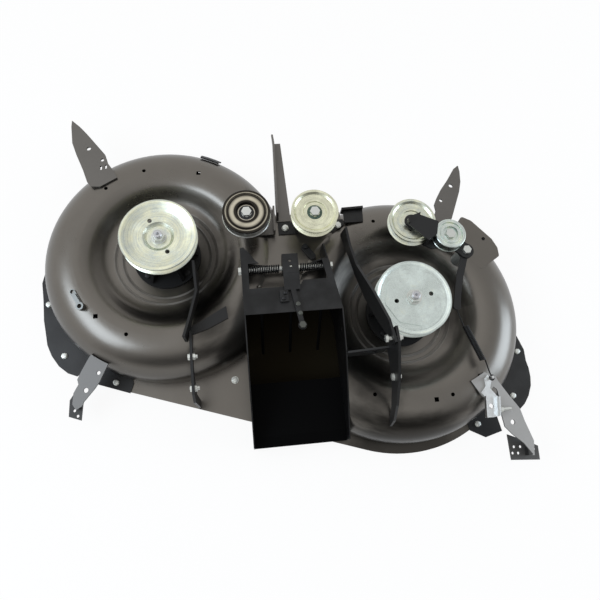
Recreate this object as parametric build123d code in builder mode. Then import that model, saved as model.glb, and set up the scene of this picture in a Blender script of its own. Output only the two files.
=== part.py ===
"""Twin-blade rear-discharge mower deck with staggered spindles.

Frame: Z = 0 is the lower edge of the shell, +Y points forward, +X to the right as seen from behind.
The origin is the middle of the footprint. Lengths are millimetres.
"""
import math
import os

from build123d import *

# Spindles and shell
LEFT_SPINDLE = (-254.0, 73.0)
RIGHT_SPINDLE = (238.0, -93.0)
LEFT_BOWL_R = 265.0
RIGHT_BOWL_R = 272.0
SHEET = 3.0
RECESS_Z = 75.0
CREST_RISE = 45.0
SHOULDER_R = 78.0
RING_INNER_R = 91.0
RING_OUTER_R = 111.0
RING_RISE = 5.0
RING_RAMP = 5.0
RING_ROUND = 3.0
SLOPE_LEAD = 4.0
SLOPE_LIFT = 3.0
SLOPE_FOOT = 36.0
SLOPE_BROW = 42.0
LIP = 4.0
# Flat ear at the front right, as (heading, distance outside the bowl wall)
FRONT_EAR = ((22, -72), (24, -17), (28, -8), (33, -5), (46, -5), (51, -10), (51, -72))
EAR_HOLE = (35.6, -20)
EAR_ROUND = 6.0
BRIDGE_DROP = 7.0
BRIDGE_FRONT_Y = 147.0
BRIDGE_EDGE_R = 14.0
BRIDGE_HALF_WIDTH = 130.0
FLANGE_REACH = 292.0
FLANGE_LEFT_END = 74.0
FLANGE_RIGHT_ARC = 52.0
VENT_HOLE_R = 4.0
SQUARE_HOLE = 9.0

# Clearances
GAP = 0.3
FIT = 0.02
RUNNING = 0.05

# Spindle assemblies
SHAFT_R = 12.5
SHAFT_THREAD_R = 8.5
SHAFT_CENTRE_R = 3.2
SHAFT_CENTRE_DEPTH = 5.0
NUT_R = 13.5
NUT_T = 10.0
NUT_WASHER_R = 15.5
NUT_WASHER_T = 2.0
SHAFT_PROUD = 6.0
COLLAR_R = 18.0
BEARING_R = 26.0
BEARING_WIDTH = 15.0
BEARING_BALL_RING = 5.0
HOUSING_TOP = 90.0
HOUSING_BOTTOM = 23.0
HOUSING_FLANGE_R = 72.0
HOUSING_FLANGE_T = 6.0
HOUSING_HUB_R = 34.0
HOUSING_PILOT_R = 31.5
HOUSING_RIBS = 6
HOUSING_RIB_T = 7.0
HOUSING_BOLT_R = 58.0
HOUSING_BOLTS = 4
PULLEY_R = 76.0
PULLEY_TOP_Z = 199.0
PULLEY_HEIGHT = 25.0
PULLEY_ROOT_R = 62.0
PULLEY_RIM = 2.5
PULLEY_WALL = 4.0
PULLEY_HOLE_R = 4.5
PULLEY_OCTAGON_R = 60.0
PULLEY_OCTAGON_CORNER = 12.0
PULLEY_OCTAGON_RISE = 1.8
BLADE_LENGTH = 490.0
BLADE_WIDTH = 60.0
BLADE_T = 5.0
BLADE_SEAT_Z = 24.0
WING_LENGTH = 95.0
WING_REACH = 18.0
WING_RISE = 14.0
BLADE_BOLT_R = 8.0

# Idlers
FLAT_IDLER = (-77.5, 112.5)
MID_IDLER = (62.0, 105.0)
V_IDLER = (262.0, 72.0)
SMALL_IDLER = (337.0, 38.0)
IDLER_R = 48.5
SMALL_IDLER_R = 32.0
IDLER_HEIGHT = 22.0
IDLER_BOLT_R = 6.0
IDLER_SINK = 6.0
IDLER_FOOT = 3.0
POST_R = 11.0

# Tension arm
ARM_PIVOT = (373.0, 7.0)
ARM_T = 4.0
ARM_WIDTH = 30.0
ARM_TAIL = (333.0, -110.0)
ARM_TAIL_WIDTH = 14.0
ARM_TAIL_BEND = ((352.0, -44.0), (340.0, -82.0))
ARM_STRAP_LIFT = 6.0
ARM_STRAP_TAB = 8.0
PIVOT_HEAD_R = 9.0
SPRING_ANCHOR = (14.0, 14.0)
SPRING_ANCHOR_Z = 143.0
SPRING_WIRE_R = 1.5
SPRING_COIL_R = 6.5
SPRING_PIN_R = 3.0
SPRING_PIN = 11.0
SPRING_HOOK_DROP = 5.0
SPRING_COIL_FROM = 0.27
SPRING_COIL_SHARE = 0.48

# Discharge chute
CHUTE_LEFT_X = -96.0
CHUTE_RIGHT_X = 100.0
CHUTE_FRONT_RIGHT_X = 76.0
CHUTE_FRONT_Y = 45.0
CHUTE_ROOF_REAR_Y = -98.0
CHUTE_ROOF_FRONT_Y = -45.0
CHUTE_REAR_Y = -346.0
CHUTE_ROOF_Z = 175.0
CHUTE_SHEET = 2.5
CHUTE_STRIP = 14.0
GUSSET = 36.0
CHUTE_SIDE_HOLE = (-132.0, 140.0)
ROOF_NOTCH = 12.0
CHUTE_MOUTH_Y = -50.0
CHUTE_FLOOR_Z = 52.5
CHUTE_FLOOR_FRONT_Y = -216.0
CHUTE_FLOOR_LIP = 22.0
BLADE_ROOM_Z = 50.0
ROD_Y = -2.0
ROD_Z = 163.0
ROD_R = 5.0
LATCH_LEFT_X = -14.0
LATCH_RIGHT_X = 18.0
LATCH_T = 3.0
LATCH_TOP_Z = 192.0
LATCH_ARM_Z = 181.0
LATCH_LOW_Z = 155.0
LATCH_REAR_Y = -22.0
LATCH_FRONT_Y = 18.0
LATCH_HOOD_Y = -54.0
LATCH_ARM_START = (3.0, -50.0)
LATCH_ARM_WIDTH = 10.0
LATCH_BOLT_X = 15.0
LATCH_BOLT_Y = -128.0
LATCH_HOLES = ((1.0, 3.0), (2.5, -8.0))
LATCH_HOLE_R = 2.5
PANEL_Y = 10.5
PANEL_TOP_Z = 142.0
ROD_END = 6.0
GUARD_BAR_X = (-62.0, -4.0, 56.0)
GUARD_BAR_HIGH = (-94.0, 172.5)
GUARD_BAR_LOW = (-150.0, 47.0)
GUARD_BAR_R = 3.0

# Plates, brackets and fasteners
PLATE = 4.0
HANGER_T = 5.0
CORNER_PLATE_T = 3.0
SEAT_OUT = 13.0
LOW_SEAT_OUT = 70.5
LOW_SEAT_SLOPE = 12.4
BRACKET_HOLE_R = 5.0
BRACKET_SLOT = 11.0
BRACKET_SLOT_WIDTH = 4.5
FLANGE_DEPTH = 18.0
REAR_RIGHT_FOOT_Z = 56.0
REAR_LEFT_FOOT_Z = 42.0
FOOT_HOLE_R = 3.0
RIGHT_STRAP_X = 176.3
RIGHT_STRAP_BOLTS = ((-180.0, 241.0), (-244.0, 192.0))
LEFT_STRAP_X = -206.5
LEFT_STRAP_BOLTS = ((-163.0, 136.0), (-222.0, 116.0))
HANGER_OVERLAP = 14.0
BOLT_R = 4.0
BOLT_HEAD_R = 7.0
BOLT_HEAD_T = 5.0
PLATE_BOLT_HEAD_R = 6.0
MID_FOOT_X = (5.0, 121.0)
MID_FOOT_SHIFT = 3.0
MID_TOP_Z = 150.0
DOME_CLEAR_R = 227.0
STRAP_FOOT = (31.0, -42.0)
CABLE_T = 3.0
CABLE_LEG = 13.0
CABLE_EDGE = 9.0
CABLE_SCREW_AT = (-13.0, 71.95)
CABLE_SCREW_HEAD_R = 6.0
CABLE_SCREW_Z = 117.5
STOP_Z = 117.6
KEEPER_INSET = 6.0
KEEPER_LENGTH = 44.0
KEEPER_REAR_Y = 112.0
KEEPER_FRONT_Y = 141.0
KEEPER_DROP = 11.0
KEEPER_RISE = 12.0
KEEPER_LIP = 5.0
WASHOUT_REACH = 19.0
WASHOUT_WIDTH = 11.0
WASHOUT_RING_R = 8.0
WASHOUT_RING_T = 8.0
WASHOUT_BORE_R = 4.5

# Values worked out from the sizes above
CREST_Z = RECESS_Z + CREST_RISE
BRIDGE_Z = CREST_Z - BRIDGE_DROP
BOWLS = {"left": (LEFT_SPINDLE, LEFT_BOWL_R), "right": (RIGHT_SPINDLE, RIGHT_BOWL_R)}
PULLEY_BASE_Z = PULLEY_TOP_Z - PULLEY_HEIGHT
IDLER_BASE_Z = PULLEY_TOP_Z - IDLER_HEIGHT
ARM_Z = IDLER_BASE_Z - GAP - ARM_T - 1.0
ARM_TAIL_Z = ARM_Z - ARM_T
SPINDLE_RUN = Vector(*RIGHT_SPINDLE) - Vector(*LEFT_SPINDLE)


def save(piece, name):
    """Label a finished piece and write it to its own file."""
    piece.part.label = name
    export_step(piece.part, f"parts/{name}.step")


def upright(point):
    """Plane through a point, facing backwards, with local x to the right and local y up."""
    return Plane(origin=(point[0], point[1], 0), x_dir=(1, 0, 0), z_dir=(0, -1, 0))


def vertical_axis(point):
    return Axis((point[0], point[1], 0), (0, 0, 1))


def side_plane(x):
    """Plane at a given X, with local x along +Y and local y up."""
    return Plane(origin=(x, 0, 0), x_dir=(0, 1, 0), z_dir=(1, 0, 0))


def dome_height(radius, bowl_r):
    """Top of the shell over the round shoulder of a bowl."""
    out = radius - (bowl_r - SHOULDER_R)
    return CREST_Z - SHOULDER_R + math.sqrt(SHOULDER_R**2 - out**2)


def band(points, width):
    """Corner points of a strip of even width along a polyline in plan."""
    left, right = [], []
    for index, point in enumerate(points):
        before = points[max(index - 1, 0)]
        after = points[min(index + 1, len(points) - 1)]
        turn = math.atan2(after[1] - before[1], after[0] - before[0])
        across = Vector(-math.sin(turn), math.cos(turn)) * (width / 2)
        left.append((point[0] + across.X, point[1] + across.Y))
        right.append((point[0] - across.X, point[1] - across.Y))
    return left + right[::-1]


def run_plane(start, end):
    """Upright plane through two plan points, with local x along the run and local y up."""
    dx, dy = end[0] - start[0], end[1] - start[1]
    return Plane(origin=(start[0], start[1], 0), x_dir=(dx, dy, 0), z_dir=(dy, -dx, 0))


def chute_right_at(y):
    """Outer face of the tapered front part of the right chute wall."""
    share = (y - CHUTE_ROOF_REAR_Y) / (CHUTE_FRONT_Y - CHUTE_ROOF_REAR_Y)
    return CHUTE_RIGHT_X + (CHUTE_FRONT_RIGHT_X - CHUTE_RIGHT_X) * share


def hex_bolt(seat, shank_r, head_r, head_t, length):
    """Upright hex bolt whose head stands on a seat point."""
    with BuildPart() as bolt:
        with BuildSketch(Plane(origin=seat)):
            RegularPolygon(head_r, 6)
        extrude(amount=head_t)
        with BuildSketch(Plane(origin=seat)):
            Circle(shank_r)
        extrude(amount=-length)
    return bolt.part


def bowl_profile(bowl_r, inset, base_z):
    """Half section of a bowl: recess floor, two ring steps, slope, crest, round shoulder and wall."""
    floor_z = RECESS_Z - inset
    crest_z = CREST_Z - inset
    crest_r = bowl_r - SHOULDER_R
    wall_r = bowl_r - inset
    shoulder = SHOULDER_R - inset
    slope_z = floor_z + 2 * RING_RISE
    with BuildSketch() as section:
        with BuildLine():
            Polyline((crest_r, base_z), (0, base_z), (0, floor_z))
            slope_start = (RING_OUTER_R + SLOPE_LEAD, slope_z + SLOPE_LIFT * SLOPE_LEAD / SLOPE_FOOT)
            FilletPolyline(
                (0, floor_z),
                (RING_INNER_R, floor_z),
                (RING_INNER_R + RING_RAMP, floor_z + RING_RISE),
                (RING_OUTER_R - RING_RAMP, floor_z + RING_RISE),
                (RING_OUTER_R, slope_z),
                slope_start,
                radius=RING_ROUND,
            )
            Bezier(
                slope_start,
                (RING_OUTER_R + SLOPE_FOOT, slope_z + SLOPE_LIFT),
                (crest_r - SLOPE_BROW, crest_z),
                (crest_r, crest_z),
            )
            CenterArc((crest_r, crest_z - shoulder), shoulder, 0, 90)
            Polyline((wall_r, crest_z - shoulder), (wall_r, base_z), (crest_r, base_z))
        make_face()
    return section.sketch


def bridge_block(inset):
    """Flat-topped block between the bowls with a rounded front edge, clear of both recesses."""
    top = BRIDGE_Z - inset
    front = BRIDGE_FRONT_Y - inset
    edge_r = BRIDGE_EDGE_R - inset
    base_z = -inset
    rear = CHUTE_MOUTH_Y - BRIDGE_EDGE_R
    with BuildPart() as block:
        with BuildSketch(side_plane(0)):
            with BuildLine():
                Polyline(
                    (front, top - edge_r),
                    (front, base_z),
                    (rear, base_z),
                    (rear, top),
                    (front - edge_r, top),
                )
                CenterArc((front - edge_r, top - edge_r), edge_r, 0, 90)
            make_face()
        extrude(amount=BRIDGE_HALF_WIDTH, both=True)
        for spindle, bowl_r in BOWLS.values():
            with Locations((*spindle, BRIDGE_Z / 2)):
                Cylinder(bowl_r - SHOULDER_R, 4 * BRIDGE_Z, mode=Mode.SUBTRACT)
    return block.part


def shell_holes():
    """Small pressed holes in the crest, round and square, as (x, y) lists."""
    rounds = [(-375, 225), (-294, 264), (-333, -104), (201, 112), (311, -280), (374, -247), (152, -266)]
    squares = [(-176, 252), (-393, -62), (276, -287)]
    return rounds, squares


def rim_point(side, heading, out):
    """Plan point at a heading from a spindle and a distance outside its bowl."""
    spindle, bowl_r = BOWLS[side]
    turn = math.radians(heading)
    return (spindle[0] + (bowl_r + out) * math.cos(turn), spindle[1] + (bowl_r + out) * math.sin(turn))


os.makedirs("parts", exist_ok=True)

# Pressed shell
with BuildPart() as deck_shell:
    for spindle, bowl_r in BOWLS.values():
        with BuildSketch(upright(spindle)):
            add(bowl_profile(bowl_r, 0, 0))
        revolve(axis=vertical_axis(spindle))
        with BuildSketch():
            with Locations(spindle):
                Circle(bowl_r + LIP)
        extrude(amount=SHEET)
    add(bridge_block(0))
    along = Plane(origin=(*LEFT_SPINDLE, 0), x_dir=SPINDLE_RUN, z_dir=(0, 0, 1))
    with BuildSketch(along):
        with Locations((-FLANGE_LEFT_END, -FLANGE_REACH)):
            Rectangle(SPINDLE_RUN.length + FLANGE_LEFT_END, FLANGE_REACH, align=(Align.MIN, Align.MIN))
        with BuildLine():
            hub = (SPINDLE_RUN.length, 0)
            arc = CenterArc(hub, FLANGE_REACH, -90, FLANGE_RIGHT_ARC)
            Polyline(arc @ 1, hub, arc @ 0)
        make_face()
    extrude(amount=SHEET)
    for spindle, bowl_r in BOWLS.values():
        with BuildSketch(upright(spindle)):
            add(bowl_profile(bowl_r, SHEET, -SHEET))
        revolve(axis=vertical_axis(spindle), mode=Mode.SUBTRACT)
    add(bridge_block(SHEET), mode=Mode.SUBTRACT)
    with BuildSketch(Plane.XY.offset(-SHEET)):
        Polygon(
            (CHUTE_LEFT_X - GAP, CHUTE_MOUTH_Y),
            (CHUTE_LEFT_X - GAP, CHUTE_FLOOR_FRONT_Y),
            (CHUTE_RIGHT_X + GAP, CHUTE_FLOOR_FRONT_Y),
            (CHUTE_RIGHT_X + GAP, CHUTE_ROOF_REAR_Y),
            (chute_right_at(CHUTE_MOUTH_Y) + GAP, CHUTE_MOUTH_Y),
            align=None,
        )
    extrude(amount=2 * CREST_Z, mode=Mode.SUBTRACT)
    with BuildSketch(Plane.XY.offset(SHEET)):
        with Locations((CHUTE_LEFT_X - GAP, CHUTE_FLOOR_FRONT_Y)):
            Rectangle(
                CHUTE_RIGHT_X - CHUTE_LEFT_X + 2 * GAP,
                FLANGE_REACH,
                align=(Align.MIN, Align.MAX),
            )
    extrude(amount=2 * CREST_Z, mode=Mode.SUBTRACT)
    with BuildSketch(Plane.XY.offset(CREST_Z - SHEET)) as ear:
        Polygon(*[rim_point("right", heading, out) for heading, out in FRONT_EAR], align=None)
        fillet(ear.vertices(), EAR_ROUND)
    extrude(amount=SHEET)
    with Locations((*rim_point("right", *EAR_HOLE), CREST_Z)):
        Cylinder(VENT_HOLE_R, 4 * SHEET, mode=Mode.SUBTRACT)
    for spindle, bowl_r in BOWLS.values():
        with Locations((*spindle, RECESS_Z)):
            Cylinder(HOUSING_PILOT_R + GAP, 4 * SHEET, mode=Mode.SUBTRACT)
            with PolarLocations(HOUSING_BOLT_R, HOUSING_BOLTS, start_angle=45):
                Cylinder(BOLT_R + GAP, 4 * SHEET, mode=Mode.SUBTRACT)
    round_holes, square_holes = shell_holes()
    with Locations([(x, y, CREST_Z) for x, y in round_holes]):
        Cylinder(VENT_HOLE_R, RECESS_Z, mode=Mode.SUBTRACT)
    with Locations([(x, y, CREST_Z) for x, y in square_holes]):
        Box(SQUARE_HOLE, SQUARE_HOLE, RECESS_Z, mode=Mode.SUBTRACT)
    with Locations([(*FLAT_IDLER, CREST_Z), (*MID_IDLER, CREST_Z), (*ARM_PIVOT, CREST_Z)]):
        Cylinder(IDLER_BOLT_R + GAP, RECESS_Z, mode=Mode.SUBTRACT)
    with Locations([(x, MID_IDLER[1] + MID_FOOT_SHIFT, CREST_Z) for x in MID_FOOT_X]):
        Cylinder(BOLT_R + GAP, RECESS_Z, mode=Mode.SUBTRACT)
save(deck_shell, "deck_shell")


# Low plates outside the skirt, as (heading, distance outside the bowl wall) from the spindle of their bowl
LOW_PLATES = {
    "left_corner_plate": (
        "left",
        [
            (171.6, -46.6), (174.0, -5.6), (178.6, 18.6), (-177.0, 24.14), (-168.9, 24.9), (-160.0, 34.6),
            (-155.8, 39.4), (-149.7, 50.1), (-144.9, 55.0), (-139.9, 56.9), (-135.4, 54.1), (-131.9, 46.9),
            (-128.8, 8.1), (-144.4, -36.3),
        ],
        [(-166.2, 15.1), (-141.7, 34.7)],
    ),
    "right_corner_plate": (
        "right",
        [
            (7.8, -27.8), (-4.0, -1.3), (-10.0, 24.0), (-16.4, 43.9), (-20.8, 51.1), (-23.5, 60.3),
            (-26.6, 68.4), (-29.8, 74.6), (-33.8, 77.3), (-37.3, 76.6), (-39.9, 72.9), (-45.7, 3.1),
            (-38.9, -38.0),
        ],
        [(-17.9, 27.8), (-37.0, 45.5)],
    ),
    "left_rear_clamp": (
        "left",
        [(-124.4, 32.1), (-122.7, 36.8), (-109.2, 29.4), (-109.1, 7.0), (-112.4, -13.0), (-124.4, -6.8)],
        [(-116.5, 17.6)],
    ),
    "right_rear_clamp": (
        "right",
        [(-57.1, -25.4), (-61.4, 20.7), (-57.8, 52.9), (-51.3, 67.4), (-47.3, 31.6), (-47.3, -3.8)],
        [(-56.9, 20.6)],
    ),
}
for name, (side, outline, bolt_points) in LOW_PLATES.items():
    spindle, bowl_r = BOWLS[side]
    with BuildPart() as low_plate:
        with BuildSketch(Plane.XY.offset(SHEET)):
            Polygon(*[rim_point(side, *point) for point in outline], align=None)
            with Locations(spindle):
                Circle(bowl_r + GAP, mode=Mode.SUBTRACT)
            with Locations([rim_point(side, *point) for point in bolt_points]):
                Circle(BOLT_R + GAP, mode=Mode.SUBTRACT)
        extrude(amount=CORNER_PLATE_T)
    save(low_plate, name)

with BuildPart() as plate_bolts:
    for side, outline, bolt_points in LOW_PLATES.values():
        for point in bolt_points:
            seat = (*rim_point(side, *point), SHEET + CORNER_PLATE_T)
            add(hex_bolt(seat, BOLT_R, PLATE_BOLT_HEAD_R, BOLT_HEAD_T, SHEET - GAP))
save(plate_bolts, "plate_bolts")


# Corner brackets on the shoulders, with outlines as (across, out) from their seats
def seat_plane(side, heading, seat_out=SEAT_OUT, slope=None):
    """Plane on a bowl's shoulder in a given direction from its spindle, tangent unless a slope is given."""
    spindle, bowl_r = BOWLS[side]
    radius = bowl_r - SHOULDER_R + seat_out
    lean = math.asin(seat_out / SHOULDER_R) if slope is None else math.radians(slope)
    hx, hy = math.cos(math.radians(heading)), math.sin(math.radians(heading))
    return Plane(
        origin=(spindle[0] + hx * radius, spindle[1] + hy * radius, dome_height(radius, bowl_r)),
        x_dir=(-hy, hx, 0),
        z_dir=(math.sin(lean) * hx, math.sin(lean) * hy, math.cos(lean)),
    )


def from_seat(plane, points):
    """Plan points of (across, out) distances from a seat."""
    across = plane.x_dir
    out = Vector(across.Y, -across.X)
    return [
        (
            plane.origin.X + across.X * point[0] + out.X * point[1],
            plane.origin.Y + across.Y * point[0] + out.Y * point[1],
        )
        for point in points
    ]


def tilted_plate(plane, outline, low, high, holes=(), slots=()):
    """Prism over an outline in plan, kept between two offsets from its tilted seat."""
    with BuildPart() as plate:
        with BuildSketch():
            Polygon(*from_seat(plane, outline), align=None)
            for across, out, radius in holes:
                with Locations(from_seat(plane, [(across, out)])):
                    Circle(radius, mode=Mode.SUBTRACT)
            for across, out, turn in slots:
                spot = from_seat(plane, [(across, out)])[0]
                with Locations(Location(spot, turn)):
                    SlotOverall(BRACKET_SLOT, BRACKET_SLOT_WIDTH, mode=Mode.SUBTRACT)
        extrude(amount=3 * CREST_Z)
        with BuildSketch(plane.offset(low)):
            Rectangle(4 * PULLEY_R, 12 * PULLEY_R)
        extrude(amount=high - low, mode=Mode.INTERSECT)
    return plate.part


FRONT_LEFT_SEAT = seat_plane("left", 122)
with BuildPart() as front_left_bracket:
    front_left_edge = [(0.4, 191.1), (-9.8, 207.4), (-15.2, 178.0), (-17.7, 150.3), (-20.3, 92.2)]
    add(
        tilted_plate(
            FRONT_LEFT_SEAT,
            [
                *front_left_edge, (-21.2, 71.2), (-14.1, 45.6), (-13.7, 20.3), (-10.6, 0.0), (29.8, 2.0),
                (45.0, 14.0), (46.5, 30.3), (38.2, 65.1), (29.3, 112.9), (21.0, 147.6),
            ],
            0,
            PLATE,
            [(-0.7, 109.6, BRACKET_HOLE_R), (-9.0, 62.4, VENT_HOLE_R)],
            [(4.0, 45.0, 90), (-6.0, 41.0, 90)],
        )
    )
    add(
        tilted_plate(
            FRONT_LEFT_SEAT,
            [*front_left_edge[1:], (-16.3, 92.2), (-13.7, 150.3), (-11.2, 178.0), (-6.8, 202.6)],
            -FLANGE_DEPTH,
            PLATE,
        )
    )
save(front_left_bracket, "front_left_bracket")

FRONT_RIGHT_SEAT = seat_plane("right", 62)
with BuildPart() as front_right_bracket:
    front_right_edge = [(-8.6, 194.4), (-16.5, 178.8), (-26.0, 149.9), (-30.1, 119.7), (-31.5, 74.2)]
    add(
        tilted_plate(
            FRONT_RIGHT_SEAT,
            [
                *front_right_edge, (-32.4, 41.4), (-30.0, 4.0), (4.0, 4.0), (7.4, 42.8), (15.0, 56.8),
                (14.5, 78.0), (11.8, 105.0), (4.5, 141.0), (-1.0, 180.0),
            ],
            0,
            PLATE,
            [(3.4, 75.7, VENT_HOLE_R), (-7.3, 127.7, BRACKET_HOLE_R)],
        )
    )
    add(
        tilted_plate(
            FRONT_RIGHT_SEAT,
            [*front_right_edge[:4], (-26.1, 119.7), (-22.1, 148.9), (-12.7, 177.2), (-5.4, 190.0)],
            -FLANGE_DEPTH,
            PLATE,
        )
    )
save(front_right_bracket, "front_right_bracket")

REAR_RIGHT_SEAT = seat_plane("right", -51)
with BuildPart() as rear_right_bracket:
    add(
        tilted_plate(
            REAR_RIGHT_SEAT,
            [
                (-14.6, -8.0), (20.1, 0.0), (31.9, 23.1), (29.2, 33.2), (26.2, 63.2), (23.5, 103.6),
                (13.2, 126.1), (-1.6, 166.7), (-22.1, 186.7), (-22.5, 181.3), (-21.2, 154.6), (-26.3, 125.6),
                (-27.4, 104.1), (-15.8, 84.7), (5.8, 57.7), (15.2, 42.3), (13.0, 33.0), (-17.4, 36.3),
                (-19.0, 27.6),
            ],
            0,
            PLATE,
            [(-8.0, 109.9, BRACKET_HOLE_R)],
        )
    )
    add(
        tilted_plate(
            REAR_RIGHT_SEAT,
            [(23.5, 103.6), (13.2, 126.1), (-1.6, 166.7), (-5.4, 165.2), (9.4, 124.6), (19.7, 102.0)],
            -FLANGE_DEPTH,
            PLATE,
        )
    )
    with BuildSketch(Plane.XY.offset(REAR_RIGHT_FOOT_Z)):
        Polygon(
            *from_seat(
                REAR_RIGHT_SEAT,
                [(-19.2, 129.9), (-53.2, 168.9), (-9.1, 211.14), (10.1, 190.7), (5.4, 178.9)],
            ),
            align=None,
        )
        foot_holes = [(-28.7, 156.2), (-18.6, 165.4), (-40.5, 162.2), (-31.8, 170.6), (-0.7, 188.9)]
        with Locations(from_seat(REAR_RIGHT_SEAT, foot_holes)):
            Circle(FOOT_HOLE_R, mode=Mode.SUBTRACT)
    extrude(amount=PLATE)
    with BuildPart(mode=Mode.PRIVATE) as foot_web:
        add(
            tilted_plate(
                REAR_RIGHT_SEAT,
                [(-1.6, 166.7), (-22.1, 186.7), (-24.9, 183.8), (-4.4, 163.8)],
                -REAR_RIGHT_FOOT_Z,
                PLATE,
            )
        )
        split(bisect_by=Plane.XY.offset(REAR_RIGHT_FOOT_Z), keep=Keep.TOP)
    add(foot_web.part)
save(rear_right_bracket, "rear_right_bracket")

REAR_LEFT_SEAT = seat_plane("left", -123, LOW_SEAT_OUT, LOW_SEAT_SLOPE)
with BuildPart() as rear_left_bracket:
    rear_left_edge = [(-14.3, 81.4), (-5.1, 101.5)]
    add(
        tilted_plate(
            REAR_LEFT_SEAT,
            [
                (-17.9, -14.0), (17.4, -14.0), (18.8, -2.1), (21.3, 35.9), (19.7, 53.2), (13.0, 86.8),
                (14.4, 94.3), (7.8, 107.4), *rear_left_edge[::-1], (-14.2, 62.0), (-21.4, 54.7),
                (-22.4, 33.0), (-22.3, 5.3),
            ],
            0,
            PLATE,
            [(10.5, 23.4, VENT_HOLE_R), (5.3, 64.8, BRACKET_HOLE_R)],
        )
    )
    with BuildSketch(Plane.XY.offset(REAR_LEFT_FOOT_Z)):
        Polygon(
            *from_seat(
                REAR_LEFT_SEAT,
                [(-18.1, 78.0), (-18.1, 97.4), (-0.8, 125.9), (25.2, 120.5), (2.2, 78.0)],
            ),
            align=None,
        )
        with Locations(from_seat(REAR_LEFT_SEAT, [(2.2, 110.4), (14.1, 116.4)])):
            Circle(FOOT_HOLE_R, mode=Mode.SUBTRACT)
    extrude(amount=PLATE)
    with BuildPart(mode=Mode.PRIVATE) as foot_web:
        add(
            tilted_plate(
                REAR_LEFT_SEAT,
                [*rear_left_edge, (-1.5, 99.8), (-10.7, 79.7)],
                -REAR_LEFT_FOOT_Z,
                PLATE,
            )
        )
        split(bisect_by=Plane.XY.offset(REAR_LEFT_FOOT_Z), keep=Keep.TOP)
    add(foot_web.part)
    with Locations((*LEFT_SPINDLE, RECESS_Z)):
        Cylinder(LEFT_BOWL_R - SHOULDER_R + LOW_SEAT_OUT + FIT, 4 * RECESS_Z, mode=Mode.SUBTRACT)
save(rear_left_bracket, "rear_left_bracket")


# Front arm, an L-section bar on the bridge
with BuildPart() as front_arm:
    with BuildSketch(Plane.XY.offset(BRIDGE_Z)):
        Polygon((-13, 124), (19, 124), (18, 150), (12, 320), (-5, 320), (-12, 158), align=None)
    extrude(amount=PLATE)
    with BuildSketch(side_plane(0)):
        Polygon(
            (124, BRIDGE_Z),
            (136, BRIDGE_Z + 26),
            (300, BRIDGE_Z + 22),
            (344, BRIDGE_Z + 6),
            (344, BRIDGE_Z),
            align=None,
        )
    extrude(amount=40, both=True)
    with BuildSketch():
        Polygon((-13, 90), (19, 90), (18, 150), (12, 320), (-5, 320), (-12, 158), align=None)
        Polygon(
            (-13, 96), (-9, 96), (-8, 158), (-2, 320), (-3, 350), (-7, 350), (-6, 320), (-12, 158),
            align=None,
        )
    extrude(amount=3 * CREST_Z, mode=Mode.INTERSECT)
    with BuildSketch(Plane.XY.offset(BRIDGE_Z + PLATE)):
        Polygon((-8.5, 90), (19, 90), (18, 150), (12, 330), (-1.5, 330), (-7.5, 158), align=None)
    extrude(amount=CREST_Z, mode=Mode.SUBTRACT)
save(front_arm, "front_arm")


# Discharge chute
LEFT_WALL = [
    (CHUTE_FRONT_Y, CREST_Z + 1), (CHUTE_FRONT_Y, CHUTE_ROOF_Z - 4), (CHUTE_FRONT_Y - 8, CHUTE_ROOF_Z),
    (CHUTE_ROOF_REAR_Y, CHUTE_ROOF_Z), (-180, 160), (CHUTE_REAR_Y, RECESS_Z), (CHUTE_REAR_Y, SHEET),
    (-150, SHEET), (-150, BLADE_ROOM_Z), (CHUTE_MOUTH_Y - 2, BLADE_ROOM_Z), (CHUTE_MOUTH_Y - 2, CREST_Z + 1),
]
RIGHT_WALL = [
    (CHUTE_ROOF_REAR_Y + 1, CHUTE_ROOF_Z), (CHUTE_ROOF_REAR_Y, CHUTE_ROOF_Z), (-180, 160),
    (CHUTE_REAR_Y, RECESS_Z), (CHUTE_REAR_Y, SHEET), (-330, SHEET), (-330, BLADE_ROOM_Z),
    (CHUTE_ROOF_REAR_Y + 1, BLADE_ROOM_Z),
]
RIGHT_FRONT_RUN = math.hypot(CHUTE_RIGHT_X - CHUTE_FRONT_RIGHT_X, CHUTE_FRONT_Y - CHUTE_ROOF_REAR_Y)
RIGHT_FRONT_WALL = [
    (0, CHUTE_ROOF_Z), (RIGHT_FRONT_RUN - 8, CHUTE_ROOF_Z), (RIGHT_FRONT_RUN, CHUTE_ROOF_Z - 4),
    (RIGHT_FRONT_RUN, CREST_Z + 1), (46, CREST_Z + 1), (46, BLADE_ROOM_Z), (0, BLADE_ROOM_Z),
]
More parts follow.
